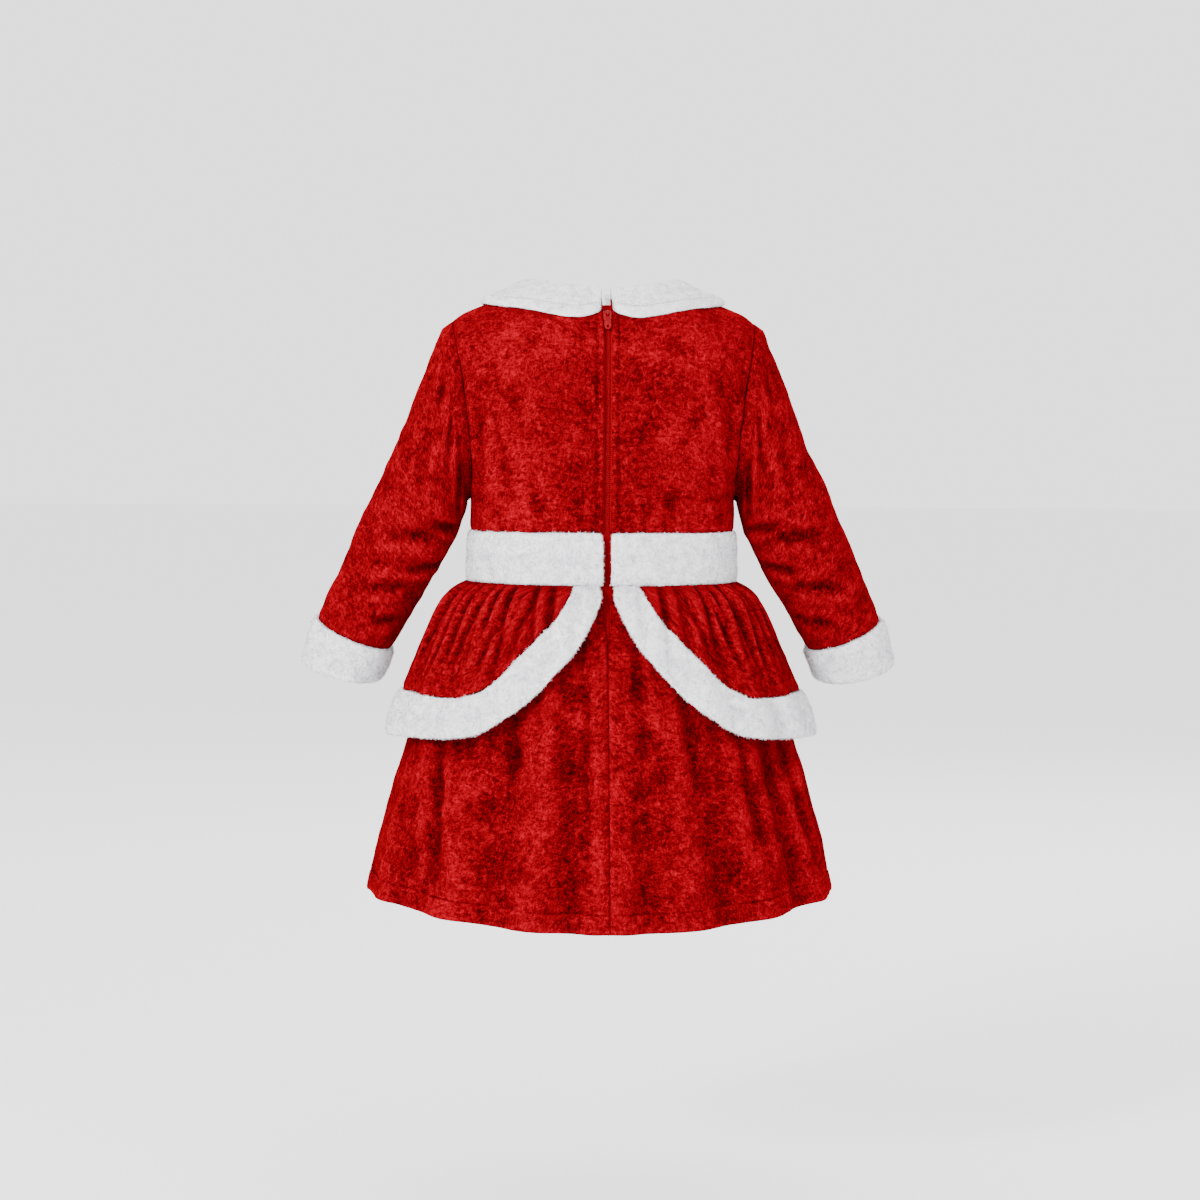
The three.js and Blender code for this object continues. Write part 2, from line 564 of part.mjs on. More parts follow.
// Panel with two columns for each step of the trim, so that both follow one seam. The first
// columns lean, because the trim comes down beside them.
function peplumGrid(stations, out) {
  const columns = [];
  stations.forEach((station, k) => {
    columns.push(station);
    const next = stations[k + 1];
    if (next) {
      columns.push({
        turn: (station.turn + next.turn) / 2,
        seamDrop: (station.seamDrop + next.seamDrop) / 2,
      });
    }
  });
  const starts = stations[0].seamDrop === 0;
  const used = starts ? columns.slice(2) : columns;
  const lead = starts ? used[0].turn - stations[0].turn : 0;
  return peplumRows.map((part) => used.map(({ turn, seamDrop }, k) => {
    const aside = starts ? PANEL_ASIDE * Math.max(0, 1 - k / used.length) : 0;
    const leaning = lead * Math.max(0, 1 - k / LEANING_COLUMNS) * (1 - part);
    return onPeplum(turn + aside - leaning, part * (seamDrop - SEAM), out);
  }));
}

function trimGrid(stations, face) {
  return trimProfile.map(({ across, swell }) => stations.map(({ turn, seamDrop, edgeTurn, edgeDrop }) => {
    const out = face > 0 ? TRIM_SWELL * swell : -VELVET - TRIM_SWELL * swell;
    return onPeplum(mix(edgeTurn, turn, across), mix(edgeDrop, seamDrop, across), out);
  }));
}

function peplum() {
  const backs = backStations();
  const fronts = frontStations();
  const panel = [0, -VELVET].map((out) => keptTo('back', peplumGrid(backs, out)));
  const panelFront = [0, -VELVET].map((out) => keptTo('front', peplumGrid(fronts, out)));
  const trim = [1, -1].map((face) => keptTo('back', trimGrid(backs, face)));
  const trimFront = [1, -1].map((face) => keptTo('front', trimGrid(fronts, face)));
  return [
    ['peplum_front', wall(panelFront[0], panelFront[1]), velvet],
    ['peplum_back_left', wall(panel[0], panel[1]), velvet],
    ['peplum_back_right', wall(mirrored(panel[0]), mirrored(panel[1])), velvet],
    ['peplum_trim_front', wall(trimFront[0], trimFront[1]), fleece],
    ['peplum_trim_back_left', wall(trim[0], trim[1]), fleece],
    ['peplum_trim_back_right', wall(mirrored(trim[0]), mirrored(trim[1])), fleece],
  ];
}

// Collar

function collarGrid(profile) {
  const turns = steps(COLLAR_END, 180 - COLLAR_END, COLLAR_COLUMNS);
  return profile.map(({ across, lift }) => turns.map((turn) => {
    const sine = Math.sin(turn * DEGREE);
    const cosine = Math.cos(turn * DEGREE);
    const side = cosine > 0 ? 'back' : 'front';
    const fromEnd = Math.min(1, Math.min(turn, 180 - turn) / COLLAR_CORNER);
    const wide = mix(COLLAR_END_WIDTH, 1, Math.sqrt(1 - (1 - fromEnd) ** 2));
    const x = mix(NECK.side * sine, COLLAR.side * sine, across * wide);
    const y = mix(NECK[side] * cosine, COLLAR[side] * cosine, across * wide);
    return new THREE.Vector3(x, y, bodyHeight(x, y) + lift);
  }));
}

function collar() {
  const upper = collarGrid(collarUpper);
  const under = collarGrid(collarUnder);
  return [
    ['collar_left', wall(upper, under), fleece],
    ['collar_right', wall(mirrored(upper), mirrored(under)), fleece],
  ];
}

// Zip

// How far back the outer face of the velvet stands along the centre of the back
function centreBack(z) {
  if (z > WAIST) return bodyDepth('back', 0, z);
  const foot = bandFoot(0);
  if (z > foot) return mix(bodiceSections[0].back, skirtSections[0].back, (WAIST - z) / (WAIST - foot));
  return read(skirtSections, 'drop', 'back', foot - SEAM - z);
}

// Place on the centre back line, moved in along its normal
function zipPoint(x, z, depth) {
  const slope = (centreBack(z + 1) - centreBack(z - 1)) / 2;
  const length = Math.hypot(1, slope);
  return new THREE.Vector3(x, centreBack(z) - depth / length, z + (depth * slope) / length);
}

function zipTape(side) {
  const outlineAt = (z) => {
    const sunk = Math.min(1, Math.max(0, (bandFoot(0) - z) / COIL.sinks));
    const face = mix(COIL.face, TAPE.face - 0.1, sunk);
    const shoulder = mix(COIL.face + 0.5, TAPE.face - 0.05, sunk);
    return [
      [COIL.gap, face], [COIL.half - 0.5, face], [COIL.half, shoulder], [COIL.half, TAPE.face],
      [TAPE.half, TAPE.edgeFace], [TAPE.half, TAPE.back], [COIL.gap, TAPE.back],
    ];
  };
  const skirtStations = zipDrops.map((drop) => seamTop(0) - drop);
  const stations = [...steps(ZIP_TOP, WAIST, ZIP_STEPS), ...skirtStations, ZIP_FOOT];
  const outlines = stations.map((z) => outlineAt(z).map(([x, depth]) => zipPoint(side * x, z, depth)));
  return loft(outlines, outlineAt(0).map(([x, depth]) => new THREE.Vector2(x, depth)));
}

const kernel = await Module();
kernel.setup();

function solid(geometry) {
  const plain = geometry.clone();
  plain.deleteAttribute('normal');
  plain.deleteAttribute('uv');
  const merged = mergeVertices(plain, 1e-4);
  return new kernel.Manifold(new kernel.Mesh({
    numProp: 3,
    vertProperties: new Float32Array(merged.attributes.position.array),
    triVerts: new Uint32Array(merged.index.array),
  }));
}

function geometryOf(shape) {
  const mesh = shape.getMesh();
  const geometry = new THREE.BufferGeometry();
  geometry.setAttribute('position', new THREE.BufferAttribute(mesh.vertProperties, 3));
  geometry.setIndex(new THREE.BufferAttribute(mesh.triVerts, 1));
  geometry.computeVertexNormals();
  return geometry;
}

// Extrudes an outline drawn in (up the zip, out from the cloth) across the zip's width
function sideExtrude(points, width) {
  const shape = new THREE.Shape(points.map(([up, out]) => new THREE.Vector2(up, out)));
  const geometry = new THREE.ExtrudeGeometry(shape, { depth: width, bevelEnabled: false });
  geometry.translate(0, 0, -width / 2);
  geometry.applyMatrix4(new THREE.Matrix4().makeBasis(
    new THREE.Vector3(0, 0, 1),
    new THREE.Vector3(0, 1, 0),
    new THREE.Vector3(-1, 0, 0),
  ));
  return geometry;
}

// Slider with the low bridge that carries the pull, drawn about the pull's pivot
function sliderGeometry() {
  const { tail, nose, foot, top, end, width } = SLIDER;
  const base = [
    [-tail, foot], [nose, foot], [nose, top - 0.8], [nose - 0.8, top], [-0.5, top], [-tail, end],
  ].map(([up, out]) => [up, out - AXIS_OUT]);
  const sunk = top - AXIS_OUT - 0.3;
  const { reach, inside, ceiling } = CROWN;
  const bridge = [
    [-reach, sunk - 0.6], [-inside, sunk - 0.6], [-inside, ceiling - 0.5], [-inside + 0.5, ceiling],
    [inside - 0.5, ceiling], [inside, ceiling - 0.5], [inside, sunk], [reach, sunk],
    [reach, CROWN.top - 0.8], [reach - 0.8, CROWN.top], [-reach + 0.8, CROWN.top], [-reach, CROWN.top - 0.8],
  ];
  return geometryOf(solid(sideExtrude(base, width)).add(solid(sideExtrude(bridge, CROWN.width))));
}

// Flat pull with a slot for the bridge and a round hole, hanging from its pivot along -Z
function pullGeometry() {
  const half = PULL.width / 2;
  const foot = -PULL.length;
  const shape = new THREE.Shape();
  shape.moveTo(-half + 0.4, PULL.bar);
  shape.lineTo(half - 0.4, PULL.bar);
  shape.lineTo(half, PULL.bar - 0.4);
  shape.lineTo(half, foot + half);
  shape.absarc(0, foot + half, half, 0, -Math.PI, true);
  shape.lineTo(-half, PULL.bar - 0.4);
  shape.closePath();
  const slot = new THREE.Path();
  slot.moveTo(-PULL.window, -PULL.bar);
  slot.lineTo(-PULL.window, -PULL.windowFoot);
  slot.lineTo(PULL.window, -PULL.windowFoot);
  slot.lineTo(PULL.window, -PULL.bar);
  slot.closePath();
  const hole = new THREE.Path();
  hole.absarc(0, -PULL_HOLE.down, PULL_HOLE.radius, 0, Math.PI * 2);
  shape.holes.push(slot, hole);
  const geometry = new THREE.ExtrudeGeometry(shape, {
    depth: PULL.thickness, bevelEnabled: false, curveSegments: 5,
  });
  geometry.translate(0, 0, -PULL.thickness / 2);
  geometry.rotateX(90 * DEGREE);
  return geometry;
}

const dress = new THREE.Group();
dress.name = 'christmas_costume_dress';

function add(name, geometry, material) {
  const mesh = new THREE.Mesh(geometry, material);
  mesh.name = name;
  dress.add(mesh);
  return mesh;
}

for (const [name, geometry, material] of [
  ...bodice(), ...sleeves(), ...waistband(), ...skirt(), ...peplum(), ...collar(),
]) add(name, geometry, material);
add('zip_tape_left', zipTape(1), tape);
add('zip_tape_right', zipTape(-1), tape);

const pivot = zipPoint(0, SLIDER.z, -AXIS_OUT);
const slider = add('zip_slider', sliderGeometry(), enamel);
slider.position.copy(pivot);
slider.rotation.x = SLIDER.tilt * DEGREE;
const pull = add('zip_pull', pullGeometry(), enamel);
pull.position.copy(pivot);
pull.rotation.x = PULL.tilt * DEGREE;

export default dress;
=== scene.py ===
"""Christmas costume dress for a small child, in the hollow shape it has when worn.

Crushed red velvet with white fleece trim and a zip down the back. Sizes are millimetres, as
the dress is measured, and become metres where a mesh is made. The back faces +Y.
"""
import math

import bpy
import numpy as np
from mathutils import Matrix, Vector, noise


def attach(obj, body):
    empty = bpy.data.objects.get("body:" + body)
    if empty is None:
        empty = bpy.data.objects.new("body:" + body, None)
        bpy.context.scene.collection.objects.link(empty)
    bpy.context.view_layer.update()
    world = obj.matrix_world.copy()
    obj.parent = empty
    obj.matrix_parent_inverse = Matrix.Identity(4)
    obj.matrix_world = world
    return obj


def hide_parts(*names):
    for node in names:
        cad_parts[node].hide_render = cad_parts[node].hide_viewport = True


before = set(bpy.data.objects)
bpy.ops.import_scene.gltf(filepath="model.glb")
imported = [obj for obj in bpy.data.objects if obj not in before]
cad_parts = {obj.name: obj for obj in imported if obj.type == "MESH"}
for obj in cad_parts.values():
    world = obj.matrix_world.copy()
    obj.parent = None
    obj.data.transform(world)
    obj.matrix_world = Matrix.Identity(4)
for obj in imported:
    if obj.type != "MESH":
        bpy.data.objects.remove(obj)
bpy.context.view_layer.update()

MM = 0.001
ROOT = "dress"               # body that all cloth rides on

# Cloth
VELVET = 1.3                 # thickness of the shells
SEAM = 0.3                   # left open between two pieces sewn together
SEAM_DIP = 1.0               # how deep a seam draws the velvet in
SEAM_REACH = 2.2
TUCK = 2.4                   # how far a sewn or folded edge turns in
RELIEF = 0.8                 # a trough or ridge this deep gets the full painted shade or the full painted highlight
SIDE_HOLD = 6.0              # from the plane between back and front, where panels stay as sewn
UV_STEP = 370.0              # each piece takes its own place in the pattern
BAND_ENDS = ((0, 0.92), (1, 0.985), (-1, 0.92), (-2, 0.985))    # how full a padded band's ends are

# Strands of brushed pile, to a square millimetre, and the shares and angles they vary within
PILE = {"strands": 1.15, "length": 2.3, "share": (0.6, 1.2), "width": 0.55, "lift": (12, 48),
        "droop": 0.5, "sunk": 0.15, "foot_shade": 0.3}
COLLAR_PILE = 0.45           # of that length, so that the stitched line stays clear

# Bodice
WAIST = -184.5
SHOULDER_TIP = -19.0
UNDERARM = -158.0
SQUARE = 2.5
ROUND = {"back": 55.0, "front": 80.0}
NECK = {"side": 57.0, "back": 44.0, "front": 42.0}
SPREAD = {"low": 90.0, "high": 55.0, "start": 0.17, "over": 0.6}
ZIP_LIP = 3.1                # from the centre line to each folded edge of the bodice back
LIP_WIDTH = 5.6              # from that edge to its line of stitches
PUCKER = {"fade": 9.0, "depth": 0.5, "pitch": 0.82, "stray": 1.4, "stray_pitch": 0.11}

# Sleeves
UNDERARM_LAP = 1.3           # how far a sleeve runs in under the bodice's edge, at the underarm
RING_STEP = 27.0             # along the sleeve between two rings
TURN_STEP = 0.85             # round the sleeve, for a degree
CREASE_DEEPER = 1.15

# Waistband
BAND_FOOT = {"side": -224.0, "back": -225.4}
BAND_SQUARE = 2.3
BAND_HALF = 105.0            # half its width
BAND_SLOT = 3.4              # from the centre line to each end at the zip

# Peplum and skirt
PEPLUM_GATHERS = 46
PEPLUM_WAVES = 23
SKIRT_GATHERS = 48
SKIRT_WAVES = 16
HEM_DROP = {"side": 247.0, "back": 264.0, "front": 256.0}
HEM_TURN = 15.0              # height of the stitched hem
HEM = {"groove": 0.8, "groove_width": 0.9, "step": 0.35, "roll": 0.9, "roll_width": 1.6,
       "pull": 0.35, "pulls": 41, "pull_reach": 14.0}
CALM = 9.0                   # degrees from the centre of the back in which gathers begin
GATHER_DEEPER = 1.22
GATHER_FADE = 68.0           # drop at which most of the small gathers have run out
GATHER_WANDER = ((60, 7), (46, 17))    # degrees of one gather, and how often round the body
GATHER_NARROW = 1.7          # above 1, the valleys between gathers are narrower than the ridges
TURN_MM = 2.6                # round the hips, for a degree, where creases are measured
SEAM_CLOSED = 62.0           # drop at which the skirt's two halves meet below the zip
SEAM_LAP = {"over": 16, "across": 0.9, "under": 1.7}    # how the right half then runs under the left
LIP = {"in": 0.13, "least": 0.02, "step": 0.45, "columns": 12}    # edges of the skirt beside the zip
FRONT_SEAM = 87.0            # drop of the trim's upper edge round the front
FRONT_EDGE = 122.0
PEPLUM_SHORT = 0.9           # how far its velvet ends above the trim's upper edge

# Collar
COLLAR = {"side": 97.0, "back": 71.0, "front": 71.0}
COLLAR_END = 3.5
COLLAR_CORNER = 24.0
COLLAR_END_WIDTH = 0.3
COLLAR_ROLL = 6.5            # from the collar's edge to the line stitched along it
COLLAR_LINE = {"height": 5.7, "deep": 1.7, "wide": 1.1}

# Zip
ZIP_TOP = -3.0
ZIP_FOOT = -300.0
TAPE_MEET = 0.03             # from the centre line to each tape's inner edge
TAPE_HALF = 8.0
TAPE_DEPTH = 3.6             # of the tape's face below the velvet
TAPE_WALL = 0.9
COIL_TOP = 13.0              # from the tape's top down to the first tooth, under the slider
COIL_FOOT = 40.0             # drop at which the skirt closes over the coil
TOOTH_PITCH = 1.55
TOOTH_REACH = 2.0
TOOTH_RADIUS = 0.5
TOOTH_PAST = 0.1             # how far a tooth reaches past the centre line
TOOTH_RISE = 0.75            # of its middle above the tape

# Stitches: length and gap, the thread's radius, and how far they sink into the cloth
COLLAR_STITCH = {"length": 2.6, "gap": 0.7, "radius": 0.3}
HEM_STITCH = {"length": 3.0, "gap": 0.9, "radius": 0.26, "sunk": 0.1}
ZIP_STITCH = {"length": 2.2, "gap": 0.8, "radius": 0.22, "sunk": 0.45}
ZIP_STITCH_TOP = -22.0

SIDES = {"left": 1, "right": -1}
BACKWARD, FORWARD = (0, 1, 0), (0, -1, 0)

# Camera and light, in metres and degrees
FLOOR = -0.72
TARGET = Vector((0, 0, -0.240))
AZIMUTH, ELEVATION, ROLL, DISTANCE = 177.0, 2.5, 0.3, 3.0
LENS = 112.5
SENSOR = 36.0
PICTURE = 1200
SHIFT_PIXELS = -1.5
SKY = 2.2


def table(columns, rows):
    """Rows of numbers as a table with named columns."""
    names = columns.split()
    return [dict(zip(names, row)) for row in rows]


BODICE = table("z width armhole back front", [
    (-184.5, 104.6, 104.6, 78.0, 85.0), (-172.0, 104.8, 104.8, 78.0, 84.5),
    (-158.0, 104.8, 104.8, 78.0, 84.0), (-150.0, 107.2, 105.0, 78.5, 84.0),
    (-140.0, 110.2, 105.3, 79.0, 83.5), (-120.0, 116.6, 106.3, 80.0, 83.0),
    (-90.0, 121.8, 109.0, 80.5, 82.5), (-60.0, 126.6, 113.6, 80.5, 82.0),
    (-40.0, 131.6, 117.4, 80.0, 82.0), (-19.0, 137.0, 120.5, 80.0, 82.0),
    (15.0, 143.0, 120.5, 80.0, 82.0),
])
SHOULDER = table("x z", [
    (0, 7.4), (35, 7.4), (57, 6.0), (84, -1.2), (100, -7.2), (112, -12.6), (120.5, -19.0),
])
SLEEVE = table("ring topX topZ underX underZ centreY depth lean", [
    (0, 127.6, -24, 107.5, -161, 0, 45.5, 0), (1, 135.1, -42, 108.2, -165, 0, 46, 0),
    (2, 143.6, -64, 109.4, -170, 0, 45, 0), (3, 154.6, -92, 111.6, -178, 0, 43, 0),
    (4, 166.6, -122, 115.2, -188, -1, 41, 2), (5, 180.6, -151, 121.6, -200, -4, 39, 4),
    (6, 193.6, -179, 129.6, -214, -9, 37, 7), (7, 205.6, -207, 138.1, -228.5, -14, 35.5, 10),
    (8, 217.1, -233, 152.6, -252.5, -20, 33.5, 12), (9, 227.1, -255.5, 167.6, -279.0, -25, 32, 12),
])
LAST_RING = 9
CUFF = table("along topX topZ underX underZ centreY depth lean", [
    (0, 227.3, -255.9, 167.7, -279.4, -25, 32.5, 12), (1, 237.1, -291.5, 178.1, -303.5, -32, 33.5, 12),
])
BAND = table("z width back front", [(-225.4, 106.0, 80.5, 88.5), (-184.5, 104.9, 79.4, 86.4)])
PEPLUM = table("drop width back front square gather wave", [
    (0, 107.2, 81.7, 90.0, 2.3, 0.5, 0.0), (7, 117.0, 90.0, 98.0, 2.2, 1.9, 0.2),
    (14, 123.5, 95.5, 103.0, 2.15, 2.4, 0.5), (26, 131.0, 101.5, 108.5, 2.1, 2.2, 0.9),
    (52, 143.5, 112.0, 118.0, 2.0, 1.4, 1.7), (78, 155.5, 121.5, 127.0, 2.0, 0.6, 2.3),
    (103, 166.0, 129.5, 134.5, 2.0, 0.0, 2.6), (125, 171.5, 134.0, 138.5, 2.0, 0.0, 2.4),
])
SKIRT = table("drop width back front square gather wave", [
    (0, 102.8, 77.3, 85.4, 2.3, 0.2, 0.0), (8, 108.5, 82.5, 90.5, 2.2, 0.9, 0.0),
    (20, 115.0, 87.5, 95.5, 2.1, 1.1, 0.3), (52, 130.5, 99.5, 107.0, 2.0, 0.9, 1.2),
    (78, 140.0, 107.5, 114.0, 2.0, 0.3, 2.2), (103, 148.5, 114.5, 120.5, 2.0, 0.0, 2.8),
    (129, 155.5, 120.5, 126.5, 2.0, 0.0, 3.4), (167, 166.4, 129.5, 134.5, 2.0, 0.0, 3.8),
    (205, 177.0, 138.0, 142.0, 2.0, 0.0, 4.2), (275, 193.0, 154.0, 155.0, 2.0, 0.0, 4.8),
])
ZIP_GAP = table("drop half", [(0, 3.0), (22, 2.8), (45, 0.8), (76, 0.15)])
TRIM_EDGE = table("turn seamDrop edgeTurn edgeDrop", [
    (11.0, 0.0, 2.2, 0.0), (12.4, 7.5, 1.9, 9.0), (14.5, 18.0, 3.4, 19.5), (17.8, 28.3, 6.8, 36.0),
    (22.1, 38.3, 11.7, 53.7), (28.8, 56.8, 18.2, 73.7), (35.1, 74.6, 25.6, 94.4),
    (40.8, 84.0, 32.3, 107.6), (46.0, 88.3, 39.5, 116.0), (54.5, 88.8, 50.2, 119.5),
    (75.0, 87.0, 72.5, 121.0), (90.0, 87.0, 90.0, 122.0),
])

# Profiles of padded pieces: part of the way across, and height above the surface they lie on
CUFF_OUTER = [
    (0.00, -0.6), (-0.01, 0.8), (0.05, 2.2), (0.16, 3.0), (0.5, 3.3), (0.84, 3.2), (0.95, 2.5), (1.01, 0.9),
    (1.0, -0.4),
]
CUFF_INNER = [(0.02, -1.4), (0.12, -2.4), (0.5, -2.6), (0.88, -2.4), (0.98, -1.4)]
BAND_OUTER = [
    (0.00, -1.0), (0.005, 0.4), (0.05, 1.4), (0.16, 1.9), (0.5, 2.0), (0.84, 1.9), (0.95, 1.4), (0.995, 0.4),
    (1.0, -1.0),
]
BAND_INNER = [(0.01, -2.9), (0.08, -3.5), (0.5, -3.5), (0.92, -3.5), (0.99, -2.9)]
TRIM_OUTER = [
    (0.00, -1.3), (0.0, 0.2), (0.05, 1.5), (0.18, 2.4), (0.5, 2.6), (0.82, 2.3), (0.95, 1.3), (1.0, -0.2),
]
TRIM_INNER = [(0.04, -3.2), (0.2, -4.2), (0.8, -4.0), (0.97, -2.4)]
TRIM_END_TURNS = [11.0, 11.3, 11.7, 12.0, 12.4, 12.9, 13.5, 14.2]
COLLAR_UPPER = [
    (0.00, 0.7), (-0.03, 5.0), (0.00, 8.6), (0.10, 10.2), (0.30, 8.6), (0.60, 6.4), (0.82, 6.4), (0.93, 6.4),
    (1.00, 4.9), (1.01, 2.6),
]
COLLAR_UNDER = [
    (0.08, 0.7), (0.08, 2.8), (0.09, 4.8), (0.13, 5.8), (0.30, 3.9), (0.60, 1.8), (0.86, 0.8), (0.94, 0.8),
    (0.98, 1.2),
]

# Slow waviness of each cloth: how far apart, how deep, and where in the noise
RUMPLES = {
    "bodice": ((24, 0.9, 0), (9, 0.35, 5)), "sleeve": ((22, 1.5, 0), (9, 0.6, 3)),
    "skirt": ((26, 1.6, 20), (9, 0.5, 30)), "peplum": ((9, 0.6, 40),),
}

LIGHTS = table("name place size power", [
    ("key", (1.9, 2.6, 0.9), 0.7, 180), ("fill", (-1.9, 2.6, 0.3), 2.0, 40),
    ("front", (-1.2, -2.8, 1.9), 1.8, 70),
])

# Creases, each a soft trough from one place to another. Bodice: across and up, seen from outside.
BACK_CREASES = table("x0 z0 x1 z1 width depth", [
    (101, -58, 99, -150, 5.0, 2.0), (88, -40, 92, -112, 6.0, 1.1), (74, -150, 88, -110, 6.0, 1.0),
    (52, -178, 60, -140, 5.0, 0.8), (26, -180, 22, -150, 4.5, 0.7), (40, -30, 78, -42, 8.0, 1.0),
    (34, -96, 62, -76, 9.0, 0.7), (18, -70, 20, -130, 8.0, 0.6), (82, -182, 90, -160, 4.0, 0.8),
    (66, -96, 80, -70, 7.0, 0.7),
])
RIGHT_BACK_CREASES = table("x0 z0 x1 z1 width depth", [
    (100, -64, 98, -146, 5.5, 1.9), (86, -52, 94, -104, 6.0, 1.2), (70, -158, 90, -124, 6.5, 1.1),
    (48, -180, 52, -148, 5.0, 0.9), (30, -178, 36, -156, 4.0, 0.6), (36, -34, 80, -48, 8.0, 1.1),
    (22, -112, 44, -92, 9.0, 0.7), (58, -118, 74, -88, 7.0, 0.8), (84, -180, 96, -166, 4.0, 0.8),
])
FRONT_CREASES = table("x0 z0 x1 z1 width depth", [
    (100, -60, 98, -148, 5.0, 1.9), (-101, -66, -98, -150, 5.5, 1.8), (84, -48, 90, -108, 6.5, 1.1),
    (-86, -44, -92, -116, 6.0, 1.2), (54, -178, 62, -146, 5.0, 0.9), (-48, -180, -58, -142, 5.5, 0.8),
    (18, -180, 14, -152, 4.5, 0.7), (-20, -178, -26, -150, 5.0, 0.8), (40, -96, 66, -72, 9.0, 0.7),
    (-30, -110, -62, -84, 9.0, 0.8), (-6, -84, 2, -130, 9.0, 0.5), (80, -160, 92, -128, 5.0, 0.9),
])
# Sleeve: by ring, and by turn from the upper side towards the back
SLEEVE_CREASES = table("ring0 turn0 ring1 turn1 width depth", [
    (0.2, 118, 3.4, 150, 6.0, 3.2), (0.2, 84, 2.6, 104, 5.5, 2.2), (0.3, 52, 1.7, 60, 6.0, 1.4),
    (3.6, 166, 5.0, 96, 6.5, 3.0), (4.6, 150, 5.8, 66, 6.0, 2.4), (5.6, 170, 6.5, 110, 6.0, 2.6),
    (6.9, 130, 7.4, 60, 5.5, 1.9), (7.9, 150, 8.3, 92, 5.0, 1.7), (2.4, 60, 4.2, 78, 8.0, 1.5),
    (0.3, 236, 3.2, 212, 6.0, 2.8), (0.3, 276, 2.6, 262, 6.0, 2.0), (3.4, 198, 5.1, 262, 6.5, 2.8),
    (5.0, 204, 6.2, 280, 6.0, 2.4), (6.6, 200, 7.2, 272, 5.5, 2.0), (8.0, 214, 8.3, 270, 5.0, 1.5),
    (2.6, 306, 4.4, 290, 8.0, 1.3),
])
# Peplum and skirt: by turn from the centre of the back and by drop below the waistband
PEPLUM_CREASES = table("turn0 drop0 turn1 drop1 width depth", [
    (26, 2, 33, 60, 3.5, 2.4), (37, 2, 44, 74, 4.0, 2.8), (50, 2, 55, 66, 3.5, 2.4),
    (63, 2, 67, 80, 4.0, 2.6), (76, 2, 78, 62, 3.5, 2.2), (95, 2, 93, 76, 4.0, 2.5),
    (112, 2, 108, 64, 3.5, 2.3), (131, 2, 128, 80, 4.0, 2.6), (152, 2, 150, 58, 3.5, 2.2),
    (171, 2, 172, 78, 4.0, 2.5), (190, 2, 188, 62, 3.5, 2.2),
    (209, 2, 212, 80, 4.0, 2.6), (229, 2, 232, 60, 3.5, 2.3), (248, 2, 252, 76, 4.0, 2.5),
    (265, 2, 267, 64, 3.5, 2.2), (284, 2, 281, 78, 4.0, 2.7), (297, 2, 293, 58, 3.5, 2.3),
    (309, 2, 304, 76, 4.0, 2.6), (321, 2, 315, 66, 3.5, 2.5), (333, 2, 326, 52, 3.5, 2.2),
])
SKIRT_CREASES = table("turn0 drop0 turn1 drop1 width depth", [
    (62, 96, 44, 246, 8.0, 4.2), (30, 70, 27, 190, 7.0, 2.2), (70, 110, 66, 226, 7.0, 1.5),
    (16, 40, 13, 150, 6.0, 1.8), (7, 60, 5, 250, 4.0, 1.6), (46, 66, 41, 140, 6.0, 1.8),
    (318, 84, 316, 232, 7.5, 3.2), (297, 100, 291, 248, 8.0, 4.0), (336, 60, 334, 176, 7.0, 2.2),
    (351, 40, 349, 140, 6.0, 1.8), (280, 110, 276, 238, 7.0, 2.6), (306, 66, 303, 128, 6.0, 1.8),
    (106, 80, 105, 230, 7.5, 2.4), (118, 60, 120, 200, 8.0, 3.0), (140, 80, 137, 248, 8.0, 3.8),
    (161, 60, 163, 190, 7.0, 2.4), (184, 70, 181, 244, 8.0, 3.6), (204, 60, 207, 180, 7.0, 2.6),
    (226, 84, 223, 246, 8.0, 3.8), (247, 60, 250, 198, 7.5, 2.8),
])


# Curves and sections

def mix(a, b, t):
    return a + (b - a) * t


def near(distance, reach):
    """1 at no distance, and softly down to nothing at about twice the reach."""
    return np.exp(-(distance / reach) ** 2)


def curve(rows, key, column):
    """Smooth curve through a column of a table, with no overshoot, as a function of the key."""
    keys = np.array([row[key] for row in rows], float)
    values = np.array([row[column] for row in rows], float)
    step = np.diff(keys)
    slope = np.diff(values) / step
    tangent = np.empty(len(keys))
    tangent[0], tangent[-1] = slope[0], slope[-1]
    before, after = slope[:-1], slope[1:]
    same_way = before * after > 0
    total = np.where(same_way, before + after, 1.0)
    tangent[1:-1] = np.where(same_way, 2 * before * after / total, 0.0)

    def at(value):
        value = np.clip(value, keys[0], keys[-1])
        i = np.clip(np.searchsorted(keys, value, side="right") - 1, 0, len(step) - 1)
        t = (value - keys[i]) / step[i]
        bend = tangent[i] * t * (1 - t) ** 2 - tangent[i + 1] * t * t * (1 - t)
        return (values[i] * (1 + 2 * t) * (1 - t) ** 2 + values[i + 1] * t * t * (3 - 2 * t)
                + step[i] * bend)
    return at


def curves(rows, key):
    return {name: curve(rows, key, name) for name in rows[0] if name != key}


bodice_at = curves(BODICE, "z")
shoulder_at = curve(SHOULDER, "x", "z")
sleeve_at = curves(SLEEVE, "ring")
cuff_at = curves(CUFF, "along")
band_at = curves(BAND, "z")
peplum_at = curves(PEPLUM, "drop")
skirt_at = curves(SKIRT, "drop")
zip_gap_at = curve(ZIP_GAP, "drop", "half")
trim_at = curves(TRIM_EDGE, "turn")


def spaced(start, end, count, gathered=0.1):
    """Values from start to end, closer together near both ends."""
    t = np.linspace(0, 1, count + 1)
    return mix(start, end, t - gathered * np.sin(2 * math.pi * t))


